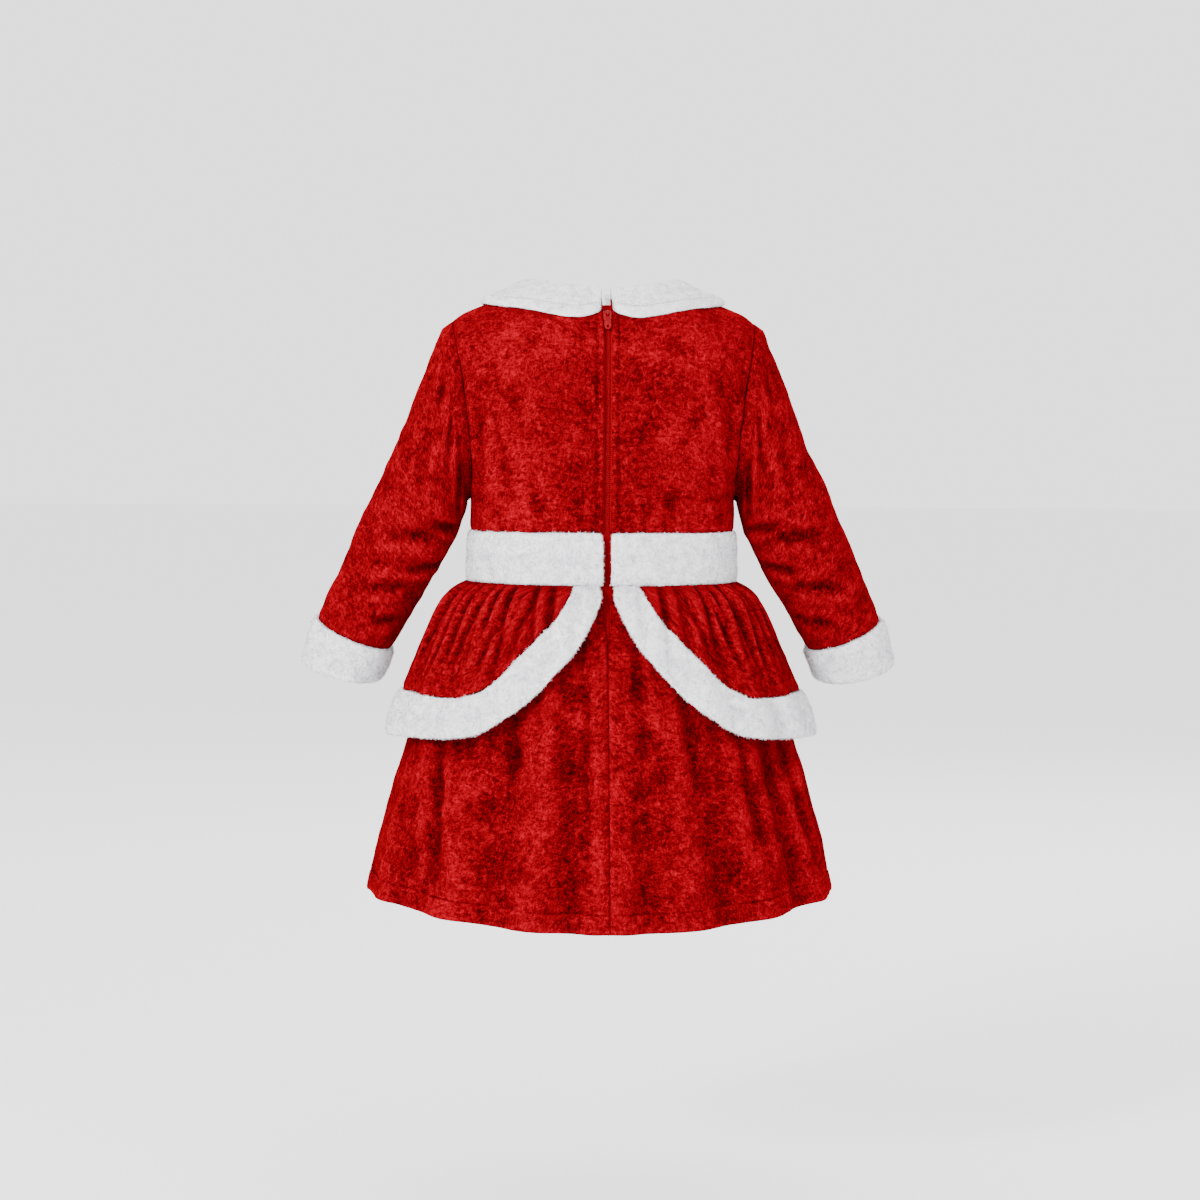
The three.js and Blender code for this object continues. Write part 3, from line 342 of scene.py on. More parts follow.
def section(width, back, front, square, turn, z, out=0.0):
    """Points of round sections; turn is 0 at the centre of the back and 90 on the left."""
    angle = np.radians(turn)
    sine, cosine = np.sin(angle), np.cos(angle)
    across = np.sign(sine) * np.abs(sine) ** (2 / square)
    along = np.sign(cosine) * np.abs(cosine) ** (2 / square)
    depth = np.where(cosine > 0, back, front)
    return np.stack(np.broadcast_arrays((width + out) * across, (depth + out) * along, z), axis=-1)


def smoothed(points, per_span):
    """Smooth line through a few points, as many steps to each span."""
    points = np.array(points, float)
    ends = np.vstack([2 * points[0] - points[1], points, 2 * points[-1] - points[-2]])
    line = []
    for i in range(len(points) - 1):
        a, b, c, d = ends[i:i + 4]
        for step in range(per_span):
            t = step / per_span
            line.append(0.5 * (2 * b + (c - a) * t + (2 * a - 5 * b + 4 * c - d) * t * t
                               + (3 * b - a - 3 * c + d) * t ** 3))
    line.append(points[-1])
    return np.array(line)


# Surface work on grids of points, [row, column, xyz]

def facing_out(grid, closed, facing=None):
    """Unit normals of a grid; they point away from its middle, or along facing."""
    if closed:
        along = np.roll(grid, -1, axis=1) - np.roll(grid, 1, axis=1)
    else:
        along = np.gradient(grid, axis=1)
    normal = np.cross(along, np.gradient(grid, axis=0))
    normal /= np.maximum(np.linalg.norm(normal, axis=-1, keepdims=True), 1e-9)
    away = np.array(facing) if facing else grid - grid.mean(axis=(0, 1))
    return normal if (normal * away).sum() > 0 else -normal


def troughs(across, up, creases, scale=(1, 1)):
    """Depth of soft creases at places in their table's own units; scale turns those to millimetres."""
    across, up = across * scale[0], up * scale[1]
    total = np.zeros(np.broadcast(across, up).shape)
    for crease in creases:
        a0, b0, a1, b1, width, depth = crease.values()
        a0, a1, b0, b1 = a0 * scale[0], a1 * scale[0], b0 * scale[1], b1 * scale[1]
        length = math.hypot(a1 - a0, b1 - b0)
        da, db = (a1 - a0) / length, (b1 - b0) / length
        along = (across - a0) * da + (up - b0) * db
        aside = np.abs((across - a0) * db - (up - b0) * da) / width
        beyond = np.clip(np.abs(along - length / 2) / (length / 2 + width), 0, 1)
        fade = (1 - beyond ** 2) ** 1.5
        total -= depth * fade * (near(aside, 1) - 0.4 * near(aside - 1.9, 0.9))
    return total


def rumple(grid, cloth, seed):
    """Slow waviness of a soft cloth, as a distance for each point."""
    total = 0.0
    for size, depth, step in RUMPLES[cloth]:
        at = seed + step
        shift = Vector((at, -at, 2 * at))
        values = [noise.noise(Vector(point) + shift) for point in grid.reshape(-1, 3) / size]
        total = total + depth * np.array(values).reshape(grid.shape[:2])
    return total


def side_hold(grid):
    """1 over a panel, and down to 0 at the plane where its side is sewn."""
    return np.clip(np.abs(grid[..., 1]) / SIDE_HOLD, 0, 1)


def arc(grid, axis):
    """Length along the cloth up to each point, from its middle line."""
    step = np.linalg.norm(np.diff(grid, axis=axis), axis=-1)
    pad = [(0, 0), (0, 0)]
    pad[axis] = (1, 0)
    run = np.cumsum(np.pad(step, pad), axis=axis)
    middle = np.take(run, [run.shape[axis] // 2], axis=axis)
    return run - middle


def seam_dip(grid, edges):
    """How far a panel is drawn in along its sewn edges: left, right, top and foot."""
    columns, rows = arc(grid, 1), arc(grid, 0)
    dip = np.zeros(grid.shape[:2])
    distance = {
        "left": columns - columns[:, :1], "right": columns[:, -1:] - columns,
        "first": rows - rows[:1], "last": rows[-1:] - rows,
    }
    for edge in edges:
        dip -= SEAM_DIP * near(distance[edge], SEAM_REACH)
    return dip


# Meshes

def new_object(name, points, faces, uvs=None):
    mesh = bpy.data.meshes.new(name)
    mesh.from_pydata((np.asarray(points) * MM).tolist(), [], faces)
    if uvs is not None:
        layer = mesh.uv_layers.new(name="cloth")
        layer.data.foreach_set("uv", (np.asarray(uvs) * MM).ravel())
    mesh.validate()
    obj = bpy.data.objects.new(name, mesh)
    bpy.context.collection.objects.link(obj)
    return obj


def only(obj):
    """Makes obj the one selected and active object."""
    bpy.ops.object.select_all(action="DESELECT")
    obj.select_set(True)
    bpy.context.view_layer.objects.active = obj


def applied(obj, kind, **settings):
    only(obj)
    modifier = obj.modifiers.new(kind.title(), kind)
    for name, value in settings.items():
        setattr(modifier, name, value)
    bpy.ops.object.modifier_apply(modifier=modifier.name)


def relief(grid, normal, wrap_rows=False, wrap_columns=False):
    """From 0 in a trough to 1 on a ridge, for each point of a grid: the painted shade and painted highlight
    of the cloth's colour.
    """
    soft = grid
    for _ in range(14):
        for axis, wrap in ((0, wrap_rows), (1, wrap_columns)):
            before, after = np.roll(soft, 1, axis), np.roll(soft, -1, axis)
            if not wrap:
                first, last = [slice(None)] * 2, [slice(None)] * 2
                first[axis], last[axis] = 0, -1
                before[tuple(first)] = soft[tuple(first)]
                after[tuple(last)] = soft[tuple(last)]
            soft = (before + 2 * soft + after) / 4
    return np.clip(0.5 + ((grid - soft) * normal).sum(-1) / (2 * RELIEF), 0, 1)


def tucked(grid, normal, edges):
    """Grid with one more row or column along each named edge, turned in under the cloth."""
    under = grid - TUCK * normal
    for edge, axis, end in (("first", 0, 0), ("last", 0, -1), ("left", 1, 0), ("right", 1, -1)):
        if edge in edges:
            turned = np.take(under, [end], axis=axis)
            grid, under = (np.concatenate([g, turned] if end else [turned, g], axis=axis)
                           for g in (grid, under))
    return grid


def woven(rows, columns, u, v, wrap_rows=False, wrap_columns=False, flip=False):
    """Faces of a grid, and the place of each of their corners on the cloth."""
    faces, uvs = [], []
    for i in range(rows if wrap_rows else rows - 1):
        for j in range(columns if wrap_columns else columns - 1):
            corners = [(i, j), (i + 1, j), (i + 1, j + 1), (i, j + 1)]
            if flip:
                corners.reverse()
            faces.append([a % rows * columns + b % columns for a, b in corners])
            uvs.extend((u[a, b], v[a, b]) for a, b in corners)
    return faces, uvs


def shell(name, grid, closed=False, facing=None, wall=VELVET, tucks=()):
    """Thin cloth on a grid of outer points, with its thickness inward and a UV map in metres."""
    normal = facing_out(grid, closed, facing)
    # painted shade for the cloth's troughs and painted highlight for its ridges
    shade = relief(grid, normal, wrap_columns=closed)
    shade = tucked(shade[..., None], np.zeros(grid.shape[:2] + (1,)), tucks)[..., 0]
    grid = tucked(grid, normal, tucks)
    ring = np.concatenate([grid, grid[:, :1]], axis=1) if closed else grid
    u, v = arc(ring, 1) + UV_STEP * len(bpy.data.meshes), arc(ring, 0)
    at, below, beside = grid[5, 5], grid[6, 5], grid[5, 6]
    flip = np.cross(below - at, beside - at) @ facing_out(grid, closed, facing)[5, 5] < 0
    faces, uvs = woven(*grid.shape[:2], u, v, wrap_columns=closed, flip=flip)
    obj = new_object(name, grid.reshape(-1, 3), faces, uvs)
    add_shade(obj, shade)
    applied(obj, "SOLIDIFY", thickness=wall * MM, offset=-1.0, use_rim=True)
    smooth(obj)
    return obj


# Stores the painted shade of troughs and painted highlight of ridges, which the materials mix into their
# colour
def add_shade(obj, shade):
    obj.data.attributes.new("painted_shade", "FLOAT", "POINT").data.foreach_set("value", shade.ravel())


def smooth(obj):
    for polygon in obj.data.polygons:
        polygon.use_smooth = True


def padded_band(name, outer, inner, closed=False):
    """Thick soft band from an outer and an inner grid that share their columns."""
    grid = np.concatenate([outer, inner[::-1]], axis=0)
    if not closed:
        centre = grid.mean(axis=0, keepdims=True)
        for column, keep in BAND_ENDS:
            grid[:, column] = mix(centre[:, column], grid[:, column], keep)
    rows, columns = grid.shape[:2]
    loop = np.concatenate([grid, grid[:1]], axis=0)
    if closed:
        loop = np.concatenate([loop, loop[:, :1]], axis=1)
    faces, uvs = woven(rows, columns, arc(loop, 1), arc(loop, 0), wrap_rows=True, wrap_columns=closed)
    if not closed:
        for j, order in ((0, 1), (columns - 1, -1)):
            faces.append([i * columns + j for i in range(rows)][::order])
            uvs.extend([(0.0, 0.0)] * rows)
    away = grid - grid.mean(axis=0, keepdims=True)
    away /= np.maximum(np.linalg.norm(away, axis=-1, keepdims=True), 1e-9)
    obj = new_object(name, grid.reshape(-1, 3), faces, uvs)
    # painted shade for the band's troughs and painted highlight for its ridges
    add_shade(obj, relief(grid, away, wrap_rows=True, wrap_columns=closed))
    only(obj)
    bpy.ops.object.mode_set(mode="EDIT")
    bpy.ops.mesh.select_all(action="SELECT")
    bpy.ops.mesh.normals_make_consistent(inside=False)
    bpy.ops.object.mode_set(mode="OBJECT")
    smooth(obj)
    return obj


def fluffed(obj, fine=0.5, slow=0.6, seed=0.0):
    """Raises the short uneven pile of fleece on a finished mesh."""
    mesh = obj.data
    count = len(mesh.vertices)
    places, normals = np.empty(count * 3), np.empty(count * 3)
    mesh.vertices.foreach_get("co", places)
    mesh.vertices.foreach_get("normal", normals)
    places, normals = places.reshape(-1, 3), normals.reshape(-1, 3)
    lift = []
    for place in places / MM:
        at = Vector(place)
        lift.append(fine * noise.noise(at / 1.3) + 0.6 * fine * noise.noise(at / 2.9)
                    + slow * noise.noise(at / 13 + Vector((seed, 0, 0))))
    places += normals * (np.array(lift)[:, None] * MM)
    mesh.vertices.foreach_set("co", places.ravel())
    mesh.update()
    return obj


def piled(obj, seed, shown, cut=1.0):
    """Brushed strands that lie over the first shown points of a piece of fleece, a thin leaf each."""
    mesh = obj.data
    mesh.calc_loop_triangles()
    corners = np.empty(len(mesh.loop_triangles) * 3, int)
    mesh.loop_triangles.foreach_get("vertices", corners)
    corners = corners.reshape(-1, 3)
    corners = corners[(corners < shown).all(axis=1)]
    places, normals = np.empty(len(mesh.vertices) * 3), np.empty(len(mesh.vertices) * 3)
    mesh.vertices.foreach_get("co", places)
    mesh.vertices.foreach_get("normal", normals)
    places, normals = places.reshape(-1, 3) / MM, normals.reshape(-1, 3)
    a, b, c = (places[corners[:, i]] for i in range(3))
    size = np.linalg.norm(np.cross(b - a, c - a), axis=1) / 2
    draw = np.random.default_rng(seed)
    count = int(size.sum() * PILE["strands"])
    pick = draw.choice(len(size), count, p=size / size.sum())
    u, v = draw.random((2, count, 1))
    u, v = np.where(u + v > 1, 1 - u, u), np.where(u + v > 1, 1 - v, v)
    root = a[pick] * (1 - u - v) + b[pick] * u + c[pick] * v
    out = normals[corners[pick]].mean(axis=1)
    out /= np.maximum(np.linalg.norm(out, axis=1, keepdims=True), 1e-9)
    way = draw.normal(size=(count, 3)) + np.array([0.0, 0.0, -PILE["droop"]])
    way -= out * (way * out).sum(1, keepdims=True)
    way /= np.linalg.norm(way, axis=1, keepdims=True)
    lift = np.radians(draw.uniform(*PILE["lift"], (count, 1)))
    length = cut * PILE["length"] * draw.uniform(*PILE["share"], (count, 1))
    tip = root + length * (np.cos(lift) * way + np.sin(lift) * out)
    half = np.cross(out, way) * PILE["width"] / 2
    foot = root - PILE["sunk"] * out
    leaves = np.stack([foot - half, foot + half, tip], axis=1).reshape(-1, 3)
    strands = bpy.data.meshes.new(f"{obj.name}_pile")
    strands.vertices.add(3 * count)
    strands.loops.add(3 * count)
    strands.polygons.add(count)
    strands.vertices.foreach_set("co", (leaves * MM).ravel())
    strands.loops.foreach_set("vertex_index", np.arange(3 * count))
    strands.polygons.foreach_set("loop_start", np.arange(0, 3 * count, 3))
    strands.update(calc_edges=True)
    pile = bpy.data.objects.new(f"{obj.name}_pile", strands)
    bpy.context.collection.objects.link(pile)
    # painted shade at each strand's foot, under the pile, and full brightness at its tip
    add_shade(pile, np.tile([PILE["foot_shade"], PILE["foot_shade"], 1.0], count))
    smooth(pile)
    return finished(pile, fleece)


def mirrored(grid):
    return grid * np.array([-1.0, 1.0, 1.0])


def repeated(name, pattern, frames):
    """One mesh with a copy of pattern's mesh in each frame (place, and three axes)."""
    mesh = pattern.data
    points = np.array([vertex.co[:] for vertex in mesh.vertices]) / MM
    polygons = [list(polygon.vertices) for polygon in mesh.polygons]
    every, faces = [], []
    for place, axes in frames:
        start = len(every) * len(points)
        every.append(place + points @ axes)
        faces.extend([start + i for i in polygon] for polygon in polygons)
    obj = new_object(name, np.concatenate(every), faces)
    smooth(obj)
    bpy.data.objects.remove(pattern)
    return obj


# Materials

class Finish:
    """A material with its Principled shader and short ways to add nodes."""

    def __init__(self, name, **values):
        self.material = bpy.data.materials.new(name)
        self.material.use_nodes = True
        self.nodes = self.material.node_tree.nodes
        self.links = self.material.node_tree.links
        self.shader = self.nodes["Principled BSDF"]
        for socket, value in values.items():
            self.shader.inputs[socket.replace("_", " ")].default_value = value

    def node(self, kind, inputs=(), **settings):
        node = self.nodes.new(kind)
        for name, value in settings.items():
            setattr(node, name, value)
        for socket, value in dict(inputs).items():
            if isinstance(value, bpy.types.NodeSocket):
                self.links.new(value, node.inputs[socket])
            else:
                node.inputs[socket].default_value = value
        return node

    def place(self, scale, turn=0.0):
        """The cloth's own map, in metres, stretched and turned."""
        uv = self.node("ShaderNodeUVMap", uv_map="cloth").outputs[0]
        return self.node("ShaderNodeMapping", {"Vector": uv, "Rotation": (0, 0, math.radians(turn)),
                                               "Scale": (*scale, 1)}).outputs[0]

    def object_place(self):
        return self.node("ShaderNodeTexCoord").outputs["Object"]

    def noise(self, vector, scale, detail=4.0, rough=0.55, distortion=0.0):
        return self.node("ShaderNodeTexNoise", {
            "Vector": vector, "Scale": scale, "Detail": detail, "Roughness": rough,
            "Distortion": distortion}).outputs[0]

    def ramp(self, value, stops):
        node = self.node("ShaderNodeValToRGB", {"Fac": value})
        elements = node.color_ramp.elements
        while len(elements) < len(stops):
            elements.new(0.5)
        for element, (at, color) in zip(elements, stops):
            element.position = at
            element.color = (*color, 1)
        return node.outputs[0]

    def maths(self, how, a, b):
        return self.node("ShaderNodeMath", {0: a, 1: b}, operation=how).outputs[0]

    def blend(self, a, share, b, other):
        return self.maths("ADD", self.maths("MULTIPLY", a, share), self.maths("MULTIPLY", b, other))

    def bump(self, height, distance, strength=1.0, under=None):
        inputs = {"Height": height, "Distance": distance, "Strength": strength}
        if under is not None:
            inputs["Normal"] = under
        return self.node("ShaderNodeBump", inputs).outputs[0]

    def set(self, socket, output):
        self.links.new(output, self.shader.inputs[socket])


def grey(value):
    return (value, value, value)


def crushed_velvet():
    """Deep red, its nap crushed into small flakes that catch or lose the light.

    The scales count for a metre of cloth: clouds are some 45 mm wide, and sparks under 1 mm.
    """
    finish = Finish("crushed_velvet", Roughness=0.6, Sheen_Weight=0.1, Sheen_Roughness=0.4,
                    Sheen_Tint=(1.0, 0.0, 0.01, 1), Specular_IOR_Level=0.0)
    plain = finish.place((1, 1))
    upright = finish.place((1.0, 0.55), 10)
    aslant = finish.place((0.6, 1.0), -28)
    clouds = finish.noise(plain, 22, 3, 0.5, 0.6)
    patches = finish.noise(upright, 150, 4, 0.62, 1.6)
    strokes = finish.noise(aslant, 330, 3, 0.6, 1.1)
    flakes = finish.noise(upright, 620, 3, 0.6, 0.9)
    sparks = finish.noise(plain, 1250, 1, 0.6)
    # Painted shade and highlight: the cloth's troughs darken the nap's colour and its ridges lighten it
    painted_shade = finish.node("ShaderNodeAttribute", attribute_name="painted_shade").outputs["Fac"]
    slow = finish.blend(clouds, 0.10, patches, 0.34)
    fine = finish.blend(strokes, 0.54, flakes, 0.42)
    nap = finish.maths("ADD", finish.maths("ADD", slow, fine), finish.blend(painted_shade, 0.18, sparks, 0.28))
    nap = finish.maths("SUBTRACT", nap, 0.445)
    finish.set("Base Color", finish.ramp(nap, [
        (0.30, (0.013, 0.0, 0.0002)), (0.41, (0.048, 0.0, 0.0008)), (0.50, (0.103, 0.0, 0.0021)),
        (0.60, (0.165, 0.0, 0.0038)), (0.72, (0.265, 0.0, 0.0075)),
    ]))
    finish.set("Roughness", finish.ramp(nap, [(0.4, grey(0.7)), (0.62, grey(0.5))]))
    soft = finish.bump(patches, 0.0016, 0.55)
    finish.set("Normal", finish.bump(finish.maths("ADD", strokes, flakes), 0.0007, 0.55, soft))
    return finish.material


def white_fleece():
    """Brushed white fleece with a short uneven pile, its colour greyed by painted shade."""
    finish = Finish("white_fleece", Roughness=0.95, Sheen_Weight=0.2, Sheen_Roughness=0.6,
                    Specular_IOR_Level=0.05)
    place = finish.object_place()
    clumps = finish.noise(place, 160, 3, 0.6, 0.4)
    pile = finish.noise(place, 720, 4, 0.7, 0.3)
    painted_shade = finish.node("ShaderNodeAttribute", attribute_name="painted_shade").outputs["Fac"]
    # Painted shade: troughs darken the colour, and the ramp's blue-grey dark end paints soft shade into the
    # clumps besides the pile's own uneven tone
    pile_tone_and_shade = finish.maths("ADD", finish.blend(clumps, 0.42, pile, 0.46), finish.maths("MULTIPLY", painted_shade, 0.12))
    finish.set("Base Color", finish.ramp(pile_tone_and_shade, [
        (0.38, (0.42, 0.41, 0.45)), (0.46, (0.58, 0.57, 0.61)), (0.53, (0.70, 0.70, 0.73)),
        (0.62, (0.82, 0.82, 0.84))]))
    low = finish.bump(clumps, 0.0022, 0.7)
    finish.set("Normal", finish.bump(pile, 0.0011, 0.9, low))
    return finish.material


def woven_tape():
    """Ribbed red tape of a zip."""
    finish = Finish("woven_tape", Roughness=0.72, Specular_IOR_Level=0.0)
    place = finish.place((1, 1), 45)
    ribs = finish.node("ShaderNodeTexWave", {"Vector": place, "Scale": 260.0, "Distortion": 0.4}).outputs[1]
    finish.set("Base Color", finish.ramp(ribs, [(0.2, (0.20, 0.0, 0.0035)), (0.8, (0.32, 0.0, 0.006))]))
    finish.set("Normal", finish.bump(ribs, 0.0003, 0.6))
    return finish.material


def coil_nylon():
    """Smooth red nylon of the coil."""
    finish = Finish("coil_nylon", Roughness=0.4, Specular_IOR_Level=0.06)
    speck = finish.noise(finish.object_place(), 900, 2)
    finish.set("Base Color", finish.ramp(speck, [(0.4, (0.15, 0.0, 0.0025)), (0.6, (0.22, 0.0, 0.004))]))
    return finish.material


def sewing_thread(name, dark, bright, **values):
    """Twisted sewing thread, a little darker than its cloth."""
    finish = Finish(name, Roughness=0.7, **values)
    twist = finish.noise(finish.object_place(), 1400, 2)
    finish.set("Base Color", finish.ramp(twist, [(0.4, dark), (0.6, bright)]))
    return finish.material


def zip_enamel():
    """Red enamel on metal, rubbed a little in small uneven patches."""
    finish = Finish("zip_enamel", Roughness=0.3, Specular_IOR_Level=0.08, Coat_Weight=0.03,
                    Coat_Roughness=0.15)
    worn = finish.noise(finish.object_place(), 500, 4)
    finish.set("Base Color", finish.ramp(worn, [(0.42, (0.12, 0.0, 0.002)), (0.6, (0.19, 0.0, 0.0035))]))
    finish.set("Roughness", finish.ramp(worn, [(0.4, grey(0.24)), (0.62, grey(0.42))]))
    return finish.material


velvet = crushed_velvet()
fleece = white_fleece()
tape_cloth = woven_tape()
nylon = coil_nylon()
red_thread = sewing_thread("red_thread", (0.045, 0.0, 0.001), (0.085, 0.0, 0.002), Specular_IOR_Level=0.04)
# white thread, painted grey so that the collar's stitched line also shows the shade of its groove
grey_shaded_thread = sewing_thread("grey_shaded_thread", grey(0.36), grey(0.48))
enamel = zip_enamel()


def finished(obj, material, body=ROOT, node=None):
    """Gives a piece its material, its body and the node that it stands for."""
    obj.data.materials.clear()
    obj.data.materials.append(material)
    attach(obj, body)
    if node:
        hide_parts(node)
    return obj


def velvet_piece(node, grid, **shape):
    return finished(shell(f"velvet_{node}", grid, **shape), velvet, node=node)


def fleece_piece(node, outer, inner, pile_seed, closed=False, cut=1.0, **fluff):
    """Padded fleece with its pile, from an outer and an inner grid."""
    band = fluffed(padded_band(f"fleece_{node}", outer, inner, closed), **fluff)
    piece = finished(band, fleece, node=node)
    piled(piece, pile_seed, outer[..., 0].size, cut)
    return piece


# Bodice

def body_reach(side, x, z):
    across = np.minimum(1, np.abs(x) / bodice_at["width"](z))
    return bodice_at[side](z) * (1 - across ** SQUARE) ** (1 / SQUARE)


def body_depth(side, x, z):
    """How far the surface stands behind or before the shoulder line, at a place seen flat."""
    over = np.clip((shoulder_at(np.abs(x)) - z) / ROUND[side], 0, 1)
    return body_reach(side, x, z) * np.sqrt(1 - (1 - over) ** 2)


def body_height(x, y):
    """Height of the surface over a place seen from above."""
    x, y = np.broadcast_arrays(np.asarray(x, float), np.asarray(y, float))
    top = shoulder_at(np.abs(x))
    z = top
    for _ in range(8):
        reach = np.where(y > 0, body_reach("back", x, z), body_reach("front", x, z))
        part = np.minimum(1, np.abs(y) / np.maximum(reach, 1e-6))
        z = top - np.where(y > 0, ROUND["back"], ROUND["front"]) * (1 - np.sqrt(1 - part ** 2))
    return z


def panel_top(side, x):
    inside = np.clip(1 - (x / NECK["side"]) ** 2, 0, 1)
    y = NECK[side] * np.sqrt(inside) * (1 if side == "back" else -1)
    return np.where(x >= NECK["side"], shoulder_at(x), body_height(x, y))


def bodice_panel(side, slot, columns=58, rows=96):
    """Outer points of half a bodice panel, from the zip or the centre to its side."""
    rise = spaced(0, 1, rows, 0.09)[:, None]
    part = spaced(0, 1, columns, 0.09)[None, :]

    def across(rise, z):
        angle = mix(SPREAD["low"], SPREAD["high"], np.clip((rise - SPREAD["start"]) / SPREAD["over"], 0, 1))
        reach = bodice_at["armhole"](z) - slot
        return slot + reach * np.sin(np.radians(part * angle)) / np.sin(np.radians(angle))

    x = across(rise, mix(WAIST, SHOULDER_TIP, rise))
    z = mix(WAIST, panel_top(side, across(np.ones((1, 1)), SHOULDER_TIP)), rise)
    z = np.broadcast_to(z, x.shape)
    sign = 1 if side == "back" else -1
    return np.stack([x, sign * (body_depth(side, x, z) + SEAM / 2), z], axis=-1)


def creased_bodice(grid, creases, edges, seed):
    x, z = grid[..., 0], grid[..., 2]
    side = 1.0 if grid[..., 1].mean() > 0 else -1.0
    push = troughs(x, z, creases) + rumple(grid, "bodice", seed)
    if side > 0:
        past = np.abs(x) - ZIP_LIP
        push = push + 0.5 * near(past - 2.0, 1.8) - 0.6 * near(past - LIP_WIDTH, 1.1)
    wave = np.sin(x * PUCKER["pitch"] + PUCKER["stray"] * np.sin(x * PUCKER["stray_pitch"]))
    push = push + np.exp(-(z - WAIST) / PUCKER["fade"]) * PUCKER["depth"] * wave
    push = (push + seam_dip(grid, edges)) * side_hold(grid)
    normal = facing_out(grid, False, (0, side, 0))
    return grid + normal * push[..., None]


def make_bodice():
    back, half = bodice_panel("back", ZIP_LIP), bodice_panel("front", 0.0)
    left = creased_bodice(back, BACK_CREASES, ["first", "right"], 3)
    right = mirrored(creased_bodice(back, RIGHT_BACK_CREASES, ["first", "right"], 11))
    front = np.concatenate([mirrored(half)[:, :0:-1], half], axis=1)
    front = creased_bodice(front, FRONT_CREASES, ["first", "left", "right"], 7)
    panels = [
        ("bodice_back_left", left, BACKWARD, (0.17, 0.23), 0.030),
        ("bodice_back_right", right, BACKWARD, (0.17, 0.23), 0.030),
        ("bodice_front", front, FORWARD, (0.34, 0.24), 0.062),
    ]
    for node, grid, facing, flat, area in panels:
        piece = velvet_piece(node, grid, facing=facing, tucks=["first", "left", "right"])


# Sleeves and cuffs

def on_ring(at, key, turn, out):
    top_x, top_z, under_x, under_z = (at[name](key) for name in ("topX", "topZ", "underX", "underZ"))
    lean = np.radians(at["lean"](key))
    half_x, half_z = (top_x - under_x) / 2, (top_z - under_z) / 2
    angle = np.radians(turn)
    along = (1 + out / np.hypot(half_x, half_z)) * np.cos(angle)
    across = (at["depth"](key) + out) * np.sin(angle)
    return np.stack(np.broadcast_arrays(
        top_x - half_x + half_x * along,
        at["centreY"](key) + across * np.cos(lean),
        top_z - half_z + half_z * along - across * np.sin(lean)), axis=-1)


def on_armhole(turn):
    radius = (SHOULDER_TIP - UNDERARM) / 2
    z = UNDERARM + radius * (1 + np.cos(np.radians(turn)))
    behind = np.mod(turn, 360) < 180
    edge = bodice_at["armhole"](z)
    depth = np.where(behind, body_depth("back", edge, z), -body_depth("front", edge, z))
    lap = UNDERARM_LAP * near(np.mod(turn, 360) - 180, 50)
    return np.stack([edge + SEAM - lap, depth, z], axis=-1)


def sleeve_grid(seed, columns=150, rows=118):
    turn = np.linspace(-180, 180, columns, endpoint=False)[None, :]
    ring = spaced(0, LAST_RING, rows, 0.05)[:, None]
    push = CREASE_DEEPER * troughs(ring, np.mod(turn, 360), SLEEVE_CREASES, (RING_STEP, TURN_STEP))
    push = push * np.clip(ring / 0.6, 0, 1)
    grid = on_ring(sleeve_at, ring, turn, push)
    grid = np.concatenate([on_armhole(turn[0])[None], grid], axis=0)
    run = arc(grid, 0)
    calm = np.clip(run - run[:1], 0, 12) / 12 * np.clip(run[-1:] - run, 0, 8) / 8
    soft = rumple(grid, "sleeve", seed) * calm + seam_dip(grid, ["last"])
    return grid + facing_out(grid, True) * soft[..., None]


def make_sleeves():
    for side, grid in (("left", sleeve_grid(2)), ("right", mirrored(sleeve_grid(17)))):
        piece = velvet_piece(f"sleeve_{side}", grid, closed=True, tucks=["first", "last"])


def cuff_grid(profile, turns):
    return np.array([on_ring(cuff_at, np.clip(along, 0, 1), turns, out)
                     for along, out in smoothed(profile, 4)])


def make_cuffs():
    turns = np.linspace(-180, 180, 150, endpoint=False)
    for side in SIDES:
        outer, inner = cuff_grid(CUFF_OUTER, turns), cuff_grid(CUFF_INNER, turns)
        if side == "right":
            outer, inner = mirrored(outer), mirrored(inner)
        piece = fleece_piece(f"cuff_{side}", outer, inner, len(side), closed=True, seed=len(side))


# Waistband

def band_foot(turn):
    return mix(BAND_FOOT["side"], BAND_FOOT["back"], np.cos(np.radians(turn)) ** 2)


def band_grid(profile, turns, slot):
    rows = []
    for across, swell in smoothed(profile, 4):
        z = mix(WAIST - SEAM, band_foot(turns), np.clip(across, 0, 1))
        width, back, front = (band_at[name](z) for name in ("width", "back", "front"))
        row = section(width, back, front, BAND_SQUARE, turns, z, swell)
        row[:, 0] = np.where((turns < 90) & (row[:, 0] < slot), slot, row[:, 0])
        rows.append(row)
    return np.array(rows)


def kept_to(side, grid):
    """Keeps a piece of the back, or of the front, half a seam clear of the plane between."""
    y = grid[..., 1]
    grid[..., 1] = np.maximum(y, SEAM / 2) if side == "back" else np.minimum(y, -SEAM / 2)
    return grid


def make_waistband():
    first = math.degrees(math.asin((BAND_SLOT / BAND_HALF) ** (BAND_SQUARE / 2)))
    back_turns, front_turns = spaced(first, 90, 96, 0.06), spaced(90, 270, 190, 0.06)
    profiles = (BAND_OUTER, BAND_INNER)
    back = [kept_to("back", band_grid(profile, back_turns, BAND_SLOT)) for profile in profiles]
    front = [kept_to("front", band_grid(profile, front_turns, 0)) for profile in profiles]
    panels = [
        ("waistband_front", front, 0.31),
        ("waistband_back_left", back, 0.15),
        ("waistband_back_right", [mirrored(grid) for grid in back], 0.15),
    ]
    for seed, (node, (outer, inner), width) in enumerate(panels):
        piece = fleece_piece(node, outer, inner, seed, seed=seed + 4.0, slow=0.7)


# Peplum and skirt

def stray(turn, first, second):
    """1, made uneven round the body by two slow waves, each a depth, a number of waves and a start."""
    return 1 + sum(depth * np.sin(np.radians(waves * turn + start))
                   for depth, waves, start in (first, second))


